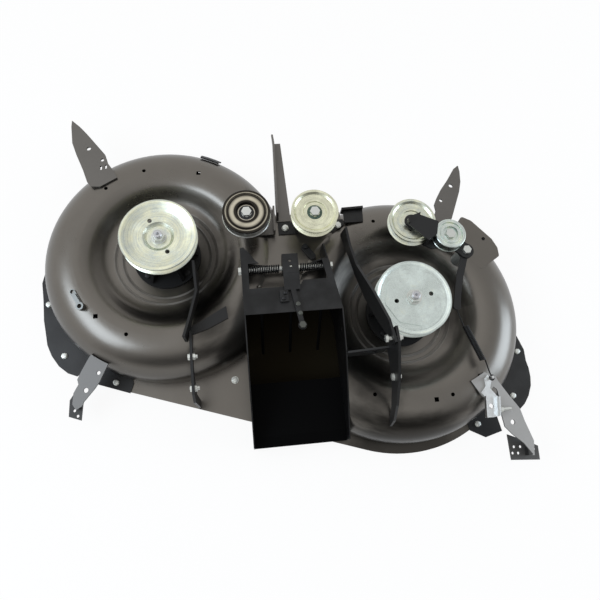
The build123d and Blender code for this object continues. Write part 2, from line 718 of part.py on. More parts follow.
with BuildPart() as chute_frame:
    with BuildSketch(side_plane(CHUTE_LEFT_X)):
        Polygon(*LEFT_WALL, align=None)
    extrude(amount=CHUTE_SHEET)
    with BuildSketch(side_plane(CHUTE_RIGHT_X)):
        Polygon(*RIGHT_WALL, align=None)
    extrude(amount=-CHUTE_SHEET)
    with BuildSketch(run_plane((CHUTE_RIGHT_X, CHUTE_ROOF_REAR_Y), (CHUTE_FRONT_RIGHT_X, CHUTE_FRONT_Y))):
        Polygon(*RIGHT_FRONT_WALL, align=None)
    extrude(amount=-CHUTE_SHEET)
    with BuildSketch(Plane.XY.offset(CHUTE_ROOF_Z)):
        Polygon(
            (CHUTE_LEFT_X, CHUTE_ROOF_REAR_Y),
            (CHUTE_RIGHT_X, CHUTE_ROOF_REAR_Y),
            (chute_right_at(CHUTE_ROOF_FRONT_Y + ROOF_NOTCH), CHUTE_ROOF_FRONT_Y + ROOF_NOTCH),
            (26, CHUTE_ROOF_FRONT_Y + ROOF_NOTCH),
            (18, CHUTE_ROOF_FRONT_Y),
            (CHUTE_LEFT_X, CHUTE_ROOF_FRONT_Y),
            align=None,
        )
        Polygon(
            (CHUTE_LEFT_X, CHUTE_ROOF_FRONT_Y),
            (CHUTE_LEFT_X + CHUTE_STRIP, CHUTE_ROOF_FRONT_Y),
            (CHUTE_LEFT_X + CHUTE_STRIP, PANEL_Y - CHUTE_SHEET),
            (CHUTE_LEFT_X + GUSSET, PANEL_Y - CHUTE_SHEET),
            (CHUTE_LEFT_X + GUSSET - 6, PANEL_Y + 3),
            (CHUTE_LEFT_X + GUSSET / 2, CHUTE_FRONT_Y - 14),
            (CHUTE_LEFT_X + 7, CHUTE_FRONT_Y - GAP),
            (CHUTE_LEFT_X, CHUTE_FRONT_Y - 3),
            align=None,
        )
        Polygon(
            (chute_right_at(CHUTE_ROOF_FRONT_Y), CHUTE_ROOF_FRONT_Y),
            (chute_right_at(PANEL_Y), PANEL_Y),
            (chute_right_at(PANEL_Y) - CHUTE_STRIP, PANEL_Y),
            (chute_right_at(CHUTE_ROOF_FRONT_Y) - CHUTE_STRIP, CHUTE_ROOF_FRONT_Y),
            align=None,
        )
    extrude(amount=-CHUTE_SHEET)
    with BuildSketch(upright((0, PANEL_Y - CHUTE_SHEET))):
        Polygon(
            (CHUTE_LEFT_X + 1, CREST_Z + 1),
            (CHUTE_LEFT_X + 1, CHUTE_ROOF_Z - 1),
            (CHUTE_LEFT_X + CHUTE_STRIP, CHUTE_ROOF_Z - 1),
            (LATCH_LEFT_X - 16, PANEL_TOP_Z),
            (LATCH_RIGHT_X + 16, PANEL_TOP_Z),
            (chute_right_at(PANEL_Y) - CHUTE_STRIP, CHUTE_ROOF_Z - 1),
            (chute_right_at(PANEL_Y) - 1, CHUTE_ROOF_Z - 1),
            (chute_right_at(PANEL_Y) - 1, CREST_Z + 1),
            align=None,
        )
    extrude(amount=-CHUTE_SHEET)
    with Locations(Location((0, ROD_Y, ROD_Z), (0, 90, 0))):
        Cylinder(ROD_R + GAP, 400, mode=Mode.SUBTRACT)
    for wall_x in (CHUTE_LEFT_X, CHUTE_RIGHT_X):
        with Locations(Location((wall_x, *CHUTE_SIDE_HOLE), (0, 90, 0))):
            Cylinder(BOLT_R, 4 * BOLT_HEAD_T, mode=Mode.SUBTRACT)
save(chute_frame, "chute_frame")

with BuildPart() as chute_floor:
    with BuildSketch(side_plane(CHUTE_LEFT_X + CHUTE_SHEET)):
        Polygon(
            *band(
                [
                    (CHUTE_FLOOR_FRONT_Y, CHUTE_FLOOR_Z),
                    (CHUTE_REAR_Y + CHUTE_FLOOR_LIP, CHUTE_FLOOR_Z),
                    (CHUTE_REAR_Y, CHUTE_FLOOR_Z - CHUTE_FLOOR_LIP / 2),
                ],
                CHUTE_SHEET,
            ),
            align=None,
        )
    extrude(amount=CHUTE_RIGHT_X - CHUTE_LEFT_X - 2 * CHUTE_SHEET)
save(chute_floor, "chute_floor")

with BuildPart() as chute_rod:
    rod_left = CHUTE_LEFT_X - ROD_END
    rod_right = chute_right_at(ROD_Y) + ROD_END
    with BuildSketch(Plane(origin=(rod_left, ROD_Y, ROD_Z), x_dir=(0, 1, 0), z_dir=(1, 0, 0))):
        Circle(ROD_R)
    extrude(amount=rod_right - rod_left)
    with BuildSketch(Plane(origin=(rod_left, ROD_Y, ROD_Z), x_dir=(0, 1, 0), z_dir=(1, 0, 0))):
        RegularPolygon(ROD_R + 3.5, 6)
    extrude(amount=ROD_END - GAP)
    with BuildSketch(Plane(origin=(rod_right, ROD_Y, ROD_Z), x_dir=(0, 1, 0), z_dir=(1, 0, 0))):
        RegularPolygon(ROD_R + 3.5, 6)
    extrude(amount=-(ROD_END - 2 * GAP - 1))
save(chute_rod, "chute_rod")

for name, start, end in (
    ("left_torsion_spring", CHUTE_LEFT_X + CHUTE_SHEET + 4, LATCH_LEFT_X - 3),
    ("right_torsion_spring", LATCH_RIGHT_X + 3, chute_right_at(ROD_Y) - CHUTE_SHEET - 6),
):
    with BuildPart() as torsion_spring:
        with BuildSketch(Plane(origin=(start, ROD_Y, ROD_Z), x_dir=(0, 1, 0), z_dir=(1, 0, 0))):
            Circle(ROD_R + 4)
            Circle(ROD_R + 0.5, mode=Mode.SUBTRACT)
        extrude(amount=end - start)
    save(torsion_spring, name)

with BuildPart() as chute_latch:
    with BuildSketch(side_plane(LATCH_LEFT_X)):
        Polygon(
            (LATCH_REAR_Y, LATCH_TOP_Z), (LATCH_FRONT_Y, LATCH_TOP_Z), (LATCH_FRONT_Y, LATCH_TOP_Z - 14),
            (8, LATCH_LOW_Z), (-12, LATCH_LOW_Z), (LATCH_REAR_Y, LATCH_TOP_Z - 14),
            align=None,
        )
        with Locations((ROD_Y, ROD_Z)):
            Circle(ROD_R + RUNNING, mode=Mode.SUBTRACT)
    extrude(amount=LATCH_RIGHT_X - LATCH_LEFT_X)
    with BuildSketch(side_plane(LATCH_LEFT_X + LATCH_T)):
        Polygon(
            (LATCH_REAR_Y - 8, LATCH_TOP_Z - LATCH_T), (LATCH_FRONT_Y + 8, LATCH_TOP_Z - LATCH_T),
            (LATCH_FRONT_Y + 8, LATCH_LOW_Z - 15), (LATCH_REAR_Y - 8, LATCH_LOW_Z - 15),
            align=None,
        )
    extrude(amount=LATCH_RIGHT_X - LATCH_LEFT_X - 2 * LATCH_T, mode=Mode.SUBTRACT)
    hood = [(LATCH_REAR_Y + 2, LATCH_TOP_Z - LATCH_T / 2), (LATCH_HOOD_Y, LATCH_ARM_Z)]
    with BuildSketch(side_plane(LATCH_LEFT_X)):
        Polygon(*band(hood, LATCH_T), align=None)
    extrude(amount=LATCH_RIGHT_X - LATCH_LEFT_X)
    with BuildSketch(Plane.XY.offset(LATCH_ARM_Z - LATCH_T / 2)):
        Polygon(*band([LATCH_ARM_START, (LATCH_BOLT_X, LATCH_BOLT_Y)], LATCH_ARM_WIDTH), align=None)
        with Locations((LATCH_BOLT_X, LATCH_BOLT_Y)):
            Circle(BOLT_HEAD_R + 1.5)
            Circle(BOLT_R + GAP, mode=Mode.SUBTRACT)
    extrude(amount=LATCH_T)
    with Locations([(x, y, LATCH_TOP_Z) for x, y in LATCH_HOLES]):
        Cylinder(LATCH_HOLE_R, 4 * LATCH_T, mode=Mode.SUBTRACT)
save(chute_latch, "chute_latch")

with BuildPart() as latch_bolt:
    bolt_seat = (LATCH_BOLT_X, LATCH_BOLT_Y, LATCH_ARM_Z + LATCH_T / 2)
    add(hex_bolt(bolt_seat, BOLT_R, BOLT_HEAD_R, BOLT_HEAD_T, 22))
    with BuildSketch(Plane.XY.offset(LATCH_ARM_Z - LATCH_T / 2)):
        with Locations((LATCH_BOLT_X, LATCH_BOLT_Y)):
            RegularPolygon(BOLT_HEAD_R, 6)
    extrude(amount=-BOLT_HEAD_T)
save(latch_bolt, "latch_bolt")

with BuildPart() as guard_bars:
    for x in GUARD_BAR_X:
        lean = Vector(0, GUARD_BAR_LOW[0] - GUARD_BAR_HIGH[0], GUARD_BAR_LOW[1] - GUARD_BAR_HIGH[1])
        start = Vector(x, *GUARD_BAR_HIGH) - lean * 0.1
        with BuildSketch(Plane(origin=start, x_dir=(1, 0, 0), z_dir=lean)):
            Circle(GUARD_BAR_R)
        extrude(amount=lean.length * 1.1)
    split(bisect_by=Plane.XY.offset(CHUTE_ROOF_Z - CHUTE_SHEET), keep=Keep.BOTTOM)
save(guard_bars, "guard_bars")


# Hanger plates and braces
with BuildPart() as right_hanger_front:
    with BuildSketch(run_plane((124, 95), (169, -165))):
        Polygon(
            (10, CREST_Z + FIT), (18, 172), (55, 160), (101, 165), (178, 220), (247, 258), (290, 256),
            (290, 226), (268, 220), (250, 205), (215, 178), (170, 150), (110, 132), (60, 126),
            (48, CREST_Z + FIT),
            align=None,
        )
        with Locations((279, 241)):
            Circle(BOLT_R + 1.5, mode=Mode.SUBTRACT)
    extrude(amount=HANGER_T / 2, both=True)
save(right_hanger_front, "right_hanger_front")

with BuildPart() as right_hanger_rear:
    with BuildSketch(side_plane(RIGHT_STRAP_X)):
        Polygon(
            (-160, 252), (-190, 256), (-207, 247), (-257, 217), (-297, 178), (-322, 140), (-330, 104.5),
            (-310, 115.5), (-296, 138), (-258, 166), (-225, 172), (-160, 172),
            align=None,
        )
        with Locations(RIGHT_STRAP_BOLTS):
            Circle(BOLT_R + GAP, mode=Mode.SUBTRACT)
    extrude(amount=HANGER_T)
save(right_hanger_rear, "right_hanger_rear")

with BuildPart() as left_hanger_front:
    with BuildSketch():
        Polygon(*band([(-190, 22), (-189, -33), (-214, -132)], HANGER_T), align=None)
    extrude(amount=3 * CREST_Z)
    with BuildSketch(side_plane(0)):
        Polygon(
            (22, 178), (-30, 152), (-86, 160), (-131, 176), (-131, 127), (-90, 127), (-60, 119), (-33, 112),
            (4, 100), (12, RECESS_Z), (22, RECESS_Z),
            align=None,
        )
    extrude(amount=-400, mode=Mode.INTERSECT)
save(left_hanger_front, "left_hanger_front")

with BuildPart() as left_hanger_rear:
    with BuildSketch(side_plane(LEFT_STRAP_X)):
        Polygon(
            (-114, 146), (-171, 144), (-237, 131), (-250, 108), (-250, SHEET), (-234, SHEET), (-230, 84),
            (-200, 112), (-190, 127), (-114, 127),
            align=None,
        )
        with Locations(LEFT_STRAP_BOLTS):
            Circle(BOLT_R + GAP, mode=Mode.SUBTRACT)
    extrude(amount=HANGER_T)
save(left_hanger_rear, "left_hanger_rear")

with BuildPart() as hanger_bolts:
    for (y, z), low, high in (
        (RIGHT_STRAP_BOLTS[0], RIGHT_STRAP_X - HANGER_OVERLAP, RIGHT_STRAP_X + HANGER_T),
        (RIGHT_STRAP_BOLTS[1], RIGHT_STRAP_X, RIGHT_STRAP_X + HANGER_T),
        (LEFT_STRAP_BOLTS[0], LEFT_STRAP_X, LEFT_STRAP_X + HANGER_T),
        (LEFT_STRAP_BOLTS[1], LEFT_STRAP_X, LEFT_STRAP_X + HANGER_T),
    ):
        with BuildSketch(Plane(origin=(low - BOLT_HEAD_T, y, z), x_dir=(0, 1, 0), z_dir=(1, 0, 0))):
            RegularPolygon(BOLT_HEAD_R, 6)
        extrude(amount=BOLT_HEAD_T)
        with BuildSketch(Plane(origin=(low, y, z), x_dir=(0, 1, 0), z_dir=(1, 0, 0))):
            Circle(BOLT_R)
        extrude(amount=high - low + BOLT_HEAD_T + 4)
        with BuildSketch(Plane(origin=(high, y, z), x_dir=(0, 1, 0), z_dir=(1, 0, 0))):
            RegularPolygon(BOLT_HEAD_R, 6)
        extrude(amount=BOLT_HEAD_T)
save(hanger_bolts, "hanger_bolts")

with BuildPart() as left_brace:
    with BuildSketch(Plane.XY.offset(CREST_Z)):
        Polygon(
            rim_point("left", -74.7, -SHOULDER_R - 5.5),
            rim_point("left", -64.4, -SHOULDER_R - 10.7),
            (-132, -61),
            (-129, -87),
            rim_point("left", -65.5, -SHOULDER_R + 10.8),
            rim_point("left", -75.3, -SHOULDER_R + 9.5),
            align=None,
        )
    extrude(amount=PLATE)
save(left_brace, "left_brace")

with BuildPart() as right_brace:
    with BuildSketch(upright((0, -183))):
        Polygon(
            (CHUTE_RIGHT_X, 166), (RIGHT_STRAP_X, 186), (RIGHT_STRAP_X, 146), (150, 130),
            (CHUTE_RIGHT_X, 126),
            align=None,
        )
        Polygon((124, 160), (160, 169), (160, 146), align=None, mode=Mode.SUBTRACT)
    extrude(amount=PLATE)
save(right_brace, "right_brace")


# Spindle assemblies, one per bowl
def hub_plane(spindle, z):
    return Plane(origin=(*spindle, z), x_dir=(1, 0, 0), z_dir=(0, 0, 1))


PULLEYS = {
    "left": {
        "tops": [(72, 0), (54, -8), (49, -9), (31, -9), (24, -15)],
        "seat": PULLEY_TOP_Z - 15,
        "web": 14.0,
        "hub_r": 32.0,
        "holes_at": 38.0,
        "turn": 116.0,
    },
    "right": {
        "tops": [(73, 0), (67, -2.5), (23, -2.5)],
        "seat": PULLEY_TOP_Z - 2.5 + PULLEY_OCTAGON_RISE,
        "web": 10.0,
        "hub_r": 22.0,
        "holes_at": 36.0,
        "turn": 8.0,
    },
}
BLADE_TURN = {"left": 62.0, "right": 100.0}
for side, (spindle, bowl_r) in BOWLS.items():
    shape = PULLEYS[side]
    nut_seat = shape["seat"]
    shaft_top = nut_seat + NUT_WASHER_T + NUT_T + SHAFT_PROUD
    with BuildPart() as spindle_housing:
        with BuildSketch(upright(spindle)):
            low, top = RECESS_Z - HOUSING_BOTTOM, RECESS_Z + HOUSING_TOP
            flange_top = RECESS_Z + HOUSING_FLANGE_T
            Polygon(
                (SHAFT_R + 7, low + BEARING_WIDTH),
                (SHAFT_R + 7, top - BEARING_WIDTH),
                (BEARING_R, top - BEARING_WIDTH),
                (BEARING_R, top),
                (HOUSING_HUB_R, top),
                (HOUSING_HUB_R, top - BEARING_WIDTH),
                (HOUSING_HUB_R - 3, top - BEARING_WIDTH - 4),
                (HOUSING_HUB_R, flange_top + 4),
                (HOUSING_HUB_R + 4, flange_top),
                (HOUSING_FLANGE_R, flange_top),
                (HOUSING_FLANGE_R, RECESS_Z),
                (HOUSING_PILOT_R, RECESS_Z),
                (HOUSING_PILOT_R, low),
                (BEARING_R, low),
                (BEARING_R, low + BEARING_WIDTH),
                align=None,
            )
        revolve(axis=vertical_axis(spindle))
        for index in range(HOUSING_RIBS):
            turn = 360.0 / HOUSING_RIBS * index
            rib_plane = hub_plane(spindle, 0).rotated((0, 0, turn))
            with BuildSketch(Plane(origin=rib_plane.origin, x_dir=rib_plane.x_dir, z_dir=-rib_plane.y_dir)):
                Polygon(
                    (HOUSING_HUB_R - 4, flange_top - 1),
                    (HOUSING_FLANGE_R - 4, flange_top - 1),
                    (HOUSING_FLANGE_R - 6, flange_top + 6),
                    (HOUSING_HUB_R + 6, top - 24),
                    (HOUSING_HUB_R - 4, top - 20),
                    align=None,
                )
            extrude(amount=HOUSING_RIB_T / 2, both=True)
        with Locations((*spindle, RECESS_Z)):
            with PolarLocations(HOUSING_BOLT_R, HOUSING_BOLTS, start_angle=45):
                Cylinder(BOLT_R + GAP, 6 * SHEET, mode=Mode.SUBTRACT)
    save(spindle_housing, f"{side}_spindle_housing")

    with BuildPart() as bearings:
        with BuildSketch(upright(spindle)):
            for base in (low, top - BEARING_WIDTH):
                ring_low, ring_high = base + FIT, base + BEARING_WIDTH - FIT
                mid_r = (SHAFT_R + BEARING_R) / 2
                Polygon(
                    (SHAFT_R + RUNNING, ring_low),
                    (SHAFT_R + RUNNING, ring_high),
                    (mid_r - BEARING_BALL_RING / 2, ring_high),
                    (mid_r - BEARING_BALL_RING / 2, ring_high - 1),
                    (mid_r + BEARING_BALL_RING / 2, ring_high - 1),
                    (mid_r + BEARING_BALL_RING / 2, ring_high),
                    (BEARING_R - FIT, ring_high),
                    (BEARING_R - FIT, ring_low),
                    align=None,
                )
        revolve(axis=vertical_axis(spindle))
    save(bearings, f"{side}_bearings")

    with BuildPart() as shaft:
        with BuildSketch(upright(spindle)):
            Polygon(
                (0, BLADE_SEAT_Z + 26),
                (BLADE_BOLT_R + FIT, BLADE_SEAT_Z + 24),
                (BLADE_BOLT_R + FIT, BLADE_SEAT_Z),
                (COLLAR_R + 4, BLADE_SEAT_Z),
                (COLLAR_R + 4, BLADE_SEAT_Z + 6),
                (COLLAR_R, BLADE_SEAT_Z + 8),
                (COLLAR_R, low - GAP),
                (SHAFT_R, low - GAP),
                (SHAFT_R, nut_seat),
                (SHAFT_THREAD_R, nut_seat),
                (SHAFT_THREAD_R, shaft_top - 1.5),
                (SHAFT_THREAD_R - 1.5, shaft_top),
                (SHAFT_CENTRE_R, shaft_top),
                (0, shaft_top - SHAFT_CENTRE_DEPTH),
                align=None,
            )
        revolve(axis=vertical_axis(spindle))
    save(shaft, f"{side}_spindle_shaft")

    with BuildPart() as pulley:
        mid_z = PULLEY_BASE_Z + PULLEY_HEIGHT / 2
        web_z = PULLEY_TOP_Z - shape["web"]
        with BuildSketch(upright(spindle)):
            Polygon(
                (SHAFT_R + FIT, top + GAP),
                (shape["hub_r"], top + GAP),
                (shape["hub_r"], web_z),
                (PULLEY_ROOT_R - PULLEY_WALL, web_z),
                (PULLEY_ROOT_R - PULLEY_WALL, mid_z - 3),
                (PULLEY_R - 6, PULLEY_BASE_Z),
                (PULLEY_R, PULLEY_BASE_Z),
                (PULLEY_R, PULLEY_BASE_Z + PULLEY_RIM),
                (PULLEY_ROOT_R, mid_z - 3),
                (PULLEY_ROOT_R, mid_z + 3),
                (PULLEY_R, PULLEY_TOP_Z - PULLEY_RIM),
                (PULLEY_R, PULLEY_TOP_Z),
                *[(r, PULLEY_TOP_Z + rise) for r, rise in shape["tops"]],
                (SHAFT_R + FIT, PULLEY_TOP_Z + shape["tops"][-1][1]),
                align=None,
            )
        revolve(axis=vertical_axis(spindle))
        if side == "right":
            face = hub_plane(spindle, PULLEY_TOP_Z + shape["tops"][-1][1]).rotated((0, 0, shape["turn"]))
            with BuildSketch(face) as octagon:
                RegularPolygon(PULLEY_OCTAGON_R, 8)
                fillet(octagon.vertices(), PULLEY_OCTAGON_CORNER)
                Circle(SHAFT_R + FIT, mode=Mode.SUBTRACT)
            extrude(amount=PULLEY_OCTAGON_RISE)
        with Locations(hub_plane(spindle, mid_z).rotated((0, 0, shape["turn"])).location):
            with PolarLocations(shape["holes_at"], 2):
                Cylinder(PULLEY_HOLE_R, 2 * PULLEY_HEIGHT, mode=Mode.SUBTRACT)
    save(pulley, f"{side}_spindle_pulley")

    with BuildPart() as pulley_nut:
        with BuildSketch(hub_plane(spindle, nut_seat)):
            Circle(NUT_WASHER_R)
            Circle(SHAFT_THREAD_R + FIT, mode=Mode.SUBTRACT)
        extrude(amount=NUT_WASHER_T)
        with BuildSketch(hub_plane(spindle, nut_seat + NUT_WASHER_T)):
            RegularPolygon(NUT_R, 6)
            Circle(SHAFT_THREAD_R + FIT, mode=Mode.SUBTRACT)
        extrude(amount=NUT_T)
    save(pulley_nut, f"{side}_pulley_nut")

    with BuildPart() as blade:
        flat = hub_plane(spindle, BLADE_SEAT_Z).rotated((0, 0, BLADE_TURN[side]))
        half, wide = BLADE_LENGTH / 2, BLADE_WIDTH / 2
        with BuildSketch(flat):
            Polygon(
                (-half, -wide + 12), (-half + 12, -wide), (half, -wide), (half, wide - 12), (half - 12, wide),
                (-half, wide),
                align=None,
            )
            Circle(BLADE_BOLT_R + FIT, mode=Mode.SUBTRACT)
        extrude(amount=-BLADE_T)
        for flip in (1, -1):
            wing_start = flat.origin + flat.x_dir * flip * (half - WING_LENGTH - 8)
            with BuildSketch(Plane(origin=wing_start, x_dir=flat.y_dir * flip, z_dir=flat.x_dir * flip)):
                Polygon(
                    (wide - 4, 0), (wide + WING_REACH, WING_RISE), (wide + WING_REACH, WING_RISE - BLADE_T),
                    (wide - 2, -BLADE_T), (wide - 4, -BLADE_T),
                    align=None,
                )
            extrude(amount=WING_LENGTH)
    save(blade, f"{side}_blade")

    with BuildPart() as blade_bolt:
        blade_low = BLADE_SEAT_Z - BLADE_T
        with BuildSketch(hub_plane(spindle, blade_low)):
            Circle(BLADE_WIDTH / 2 - 6)
        extrude(amount=-3)
        with BuildSketch(hub_plane(spindle, blade_low - 3)):
            RegularPolygon(14, 6)
        extrude(amount=-10)
        with BuildSketch(hub_plane(spindle, blade_low)):
            Circle(BLADE_BOLT_R)
        extrude(amount=BLADE_T + 22)
    save(blade_bolt, f"{side}_blade_bolt")

with BuildPart() as housing_bolts:
    for spindle, bowl_r in BOWLS.values():
        for index in range(HOUSING_BOLTS):
            turn = math.radians(45 + 360 / HOUSING_BOLTS * index)
            x = spindle[0] + HOUSING_BOLT_R * math.cos(turn)
            y = spindle[1] + HOUSING_BOLT_R * math.sin(turn)
            add(hex_bolt((x, y, RECESS_Z + HOUSING_FLANGE_T), BOLT_R, BOLT_HEAD_R, BOLT_HEAD_T, 18))
            with BuildSketch(hub_plane((x, y), RECESS_Z - SHEET)):
                RegularPolygon(BOLT_HEAD_R, 6)
            extrude(amount=-BOLT_HEAD_T)
save(housing_bolts, "housing_bolts")


# Idlers with their bearings pressed in
def idler_section(radius, grooved):
    """Half section of an idler with its bearing: flat with a raised disc, or dished with a groove."""
    low, high = IDLER_BASE_Z, PULLEY_TOP_Z
    bore = IDLER_BOLT_R + RUNNING
    sunk = high - IDLER_SINK
    seat = 20 if radius > PULLEY_R / 2 else 15
    if grooved:
        face = [(seat + 3, sunk), (seat + 4, high - 4), (radius - 9, high - 4)]
        rim = [
            (radius - 5, high), (radius, high), (radius, high - 2), (radius - 13, high - 7.5),
            (radius - 13, low + 7.5), (radius, low + 2), (radius, low), (radius - 6, low),
        ]
    else:
        face = [
            (seat + 1, high - 0.5), (radius - 11, high - 0.5), (radius - 11, high - 2.5),
            (radius - 8, high - 2.5),
        ]
        rim = [
            (radius - 7, high), (radius - 1, high), (radius, high - 1), (radius, low + 3),
            (radius + 1, low + 2), (radius + 1, low), (radius - 5, low),
        ]
    with BuildSketch() as section:
        Polygon(
            (bore, low + IDLER_FOOT), (bore, sunk), (10, sunk), (10, sunk - 1), (seat - 4, sunk - 1),
            (seat - 4, sunk), (seat, sunk),
            *face,
            *rim,
            (radius - 12, low + 4), (seat + 2, low + 4), (seat, low + IDLER_FOOT),
            align=None,
        )
    return section.sketch


IDLERS = {
    "flat_idler": (FLAT_IDLER, IDLER_R, False),
    "mid_idler": (MID_IDLER, IDLER_R, True),
    "v_idler": (V_IDLER, IDLER_R, True),
    "small_idler": (SMALL_IDLER, SMALL_IDLER_R, False),
}
for name, (point, radius, grooved) in IDLERS.items():
    with BuildPart() as idler:
        with BuildSketch(upright(point)):
            add(idler_section(radius, grooved))
        revolve(axis=vertical_axis(point))
    save(idler, name)

BEARING_LOW_Z = IDLER_BASE_Z + IDLER_FOOT
BEARING_HIGH_Z = PULLEY_TOP_Z - IDLER_SINK
STRAP_Z = PULLEY_TOP_Z + ARM_STRAP_LIFT
IDLER_STANDS = {
    "flat_idler_bolt": (FLAT_IDLER, CREST_Z + PLATE, CREST_Z - 2 * SHEET, BEARING_HIGH_Z + GAP),
    "mid_idler_bolt": (MID_IDLER, MID_TOP_Z + PLATE, MID_TOP_Z - 4, BEARING_HIGH_Z + GAP),
    "v_idler_bolt": (V_IDLER, ARM_Z + ARM_T, ARM_Z - 4, STRAP_Z + ARM_T),
    "small_idler_bolt": (SMALL_IDLER, ARM_Z + ARM_T, ARM_Z - 4, BEARING_HIGH_Z + GAP),
}
for name, (point, stand_z, shank_z, head_z) in IDLER_STANDS.items():
    with BuildPart() as idler_bolt:
        with BuildSketch(hub_plane(point, shank_z)):
            Circle(IDLER_BOLT_R)
        extrude(amount=head_z - shank_z)
        with BuildSketch(hub_plane(point, stand_z)):
            Circle(POST_R - 2)
        extrude(amount=BEARING_LOW_Z - GAP - stand_z)
        if head_z > STRAP_Z:
            with BuildSketch(hub_plane(point, BEARING_HIGH_Z + GAP)):
                Circle(POST_R - 2)
            extrude(amount=STRAP_Z - BEARING_HIGH_Z - GAP)
            with BuildSketch(hub_plane(point, ARM_Z)):
                RegularPolygon(POST_R - 0.5, 6)
            extrude(amount=-BOLT_HEAD_T)
        else:
            with BuildSketch(hub_plane(point, head_z)):
                RegularPolygon(POST_R - 0.5, 6)
            extrude(amount=BOLT_HEAD_T + 2)
    save(idler_bolt, name)

with BuildPart() as flat_idler_bracket:
    with BuildSketch(Plane.XY.offset(CREST_Z)):
        Polygon((-104, 98), (-60, 92), (-22, 92), (-20, 150), (-46, 150), (-60, 134), (-100, 130), align=None)
        with Locations(FLAT_IDLER):
            Circle(IDLER_BOLT_R + GAP, mode=Mode.SUBTRACT)
    extrude(amount=PLATE)
    with BuildSketch(Plane.XY.offset(CREST_Z)):
        Polygon((-22, 92), (-18, 92), (-16, 150), (-20, 150), align=None)
    extrude(amount=24)
save(flat_idler_bracket, "flat_idler_bracket")

with BuildPart() as mid_idler_bracket:
    foot_z = BRIDGE_Z + PLATE / 2
    crown_z = MID_TOP_Z + PLATE / 2
    with BuildSketch(upright((0, MID_IDLER[1] + MID_FOOT_SHIFT))):
        Polygon(
            *band(
                [(-10, foot_z), (28, foot_z), (38, crown_z), (88, crown_z), (98, foot_z), (134, foot_z)],
                PLATE,
            ),
            align=None,
        )
    extrude(amount=14, both=True)
    with Locations((*MID_IDLER, crown_z)):
        Cylinder(IDLER_BOLT_R + GAP, 20, mode=Mode.SUBTRACT)
    with Locations((*RIGHT_SPINDLE, CREST_Z)):
        Cylinder(DOME_CLEAR_R, 20, mode=Mode.SUBTRACT)
    with Locations([(x, MID_IDLER[1] + MID_FOOT_SHIFT, foot_z) for x in MID_FOOT_X]):
        Cylinder(BOLT_R + GAP, 20, mode=Mode.SUBTRACT)
save(mid_idler_bracket, "mid_idler_bracket")

with BuildPart() as bracket_bolts:
    for x in MID_FOOT_X:
        point = (x, MID_IDLER[1] + MID_FOOT_SHIFT, BRIDGE_Z + PLATE)
        add(hex_bolt(point, BOLT_R, BOLT_HEAD_R, BOLT_HEAD_T, PLATE + SHEET + 3))
save(bracket_bolts, "bracket_bolts")


# Tension arm, its pivot and its spring
STRAP_OUTLINE = [(-14.5, -3), (1, 8), (16, 13), (14, 7), (50, -10), (42, -38), (22, -50), (-14, -11)]
with BuildPart() as tension_arm:
    with BuildSketch(Plane.XY.offset(ARM_Z)):
        Polygon(*band([V_IDLER, SMALL_IDLER, ARM_PIVOT], ARM_WIDTH), align=None)
        Polygon(SMALL_IDLER, (330, 20), (300, 16), (278, 30), (284, 58), align=None)
        with Locations(V_IDLER, ARM_PIVOT):
            Circle(ARM_WIDTH / 2 + 1)
        with Locations(V_IDLER, SMALL_IDLER):
            Circle(IDLER_BOLT_R + FIT, mode=Mode.SUBTRACT)
        with Locations(ARM_PIVOT):
            Circle(IDLER_BOLT_R + RUNNING, mode=Mode.SUBTRACT)
    extrude(amount=ARM_T)
    with BuildSketch(Plane.XY.offset(ARM_TAIL_Z)):
        Polygon(*band([ARM_PIVOT, *ARM_TAIL_BEND, ARM_TAIL], ARM_TAIL_WIDTH), align=None)
        with Locations(ARM_PIVOT):
            Circle(ARM_WIDTH / 2 + 1)
        with Locations(ARM_TAIL):
            Circle(ARM_TAIL_WIDTH / 2 + 1)
        with Locations(ARM_PIVOT):
            Circle(IDLER_BOLT_R + RUNNING, mode=Mode.SUBTRACT)
    extrude(amount=ARM_T)
    with BuildSketch(Plane.XY.offset(STRAP_Z)):
        Polygon(*[(V_IDLER[0] + dx, V_IDLER[1] + dy) for dx, dy in STRAP_OUTLINE], align=None)
        with Locations(V_IDLER):
            Circle(IDLER_BOLT_R + FIT, mode=Mode.SUBTRACT)
    extrude(amount=ARM_T)
    with BuildSketch(Plane.XY.offset(STRAP_Z)):
        tab = ((-14.5, -3), (-14, -11), (-11, -11), (-11, -1))
        Polygon(*[(V_IDLER[0] + dx, V_IDLER[1] + dy) for dx, dy in tab], align=None)
    extrude(amount=ARM_T + ARM_STRAP_TAB)
    strap_turn = math.degrees(math.atan2(STRAP_FOOT[1], STRAP_FOOT[0]))
    foot_spot = (V_IDLER[0] + STRAP_FOOT[0], V_IDLER[1] + STRAP_FOOT[1], ARM_Z)
    with Locations(Location(foot_spot, (0, 0, strap_turn))):
        Box(ARM_T, 20, STRAP_Z + ARM_T - ARM_Z, align=(Align.CENTER, Align.CENTER, Align.MIN))
    with Locations((*ARM_TAIL, ARM_TAIL_Z)):
        Cylinder(SPRING_PIN_R, SPRING_PIN, align=(Align.CENTER, Align.CENTER, Align.MAX))
save(tension_arm, "tension_arm")

with BuildPart() as pivot_bolt:
    with BuildSketch(hub_plane(ARM_PIVOT, CREST_Z - 2 * SHEET)):
        Circle(IDLER_BOLT_R)
    extrude(amount=ARM_Z + ARM_T + GAP - CREST_Z + 2 * SHEET)
    with BuildSketch(hub_plane(ARM_PIVOT, CREST_Z)):
        Circle(POST_R + 3)
    extrude(amount=ARM_TAIL_Z - GAP - CREST_Z)
    with BuildSketch(hub_plane(ARM_PIVOT, ARM_Z + ARM_T + GAP)):
        RegularPolygon(PIVOT_HEAD_R, 6)
    extrude(amount=BOLT_HEAD_T + 2)
save(pivot_bolt, "pivot_bolt")

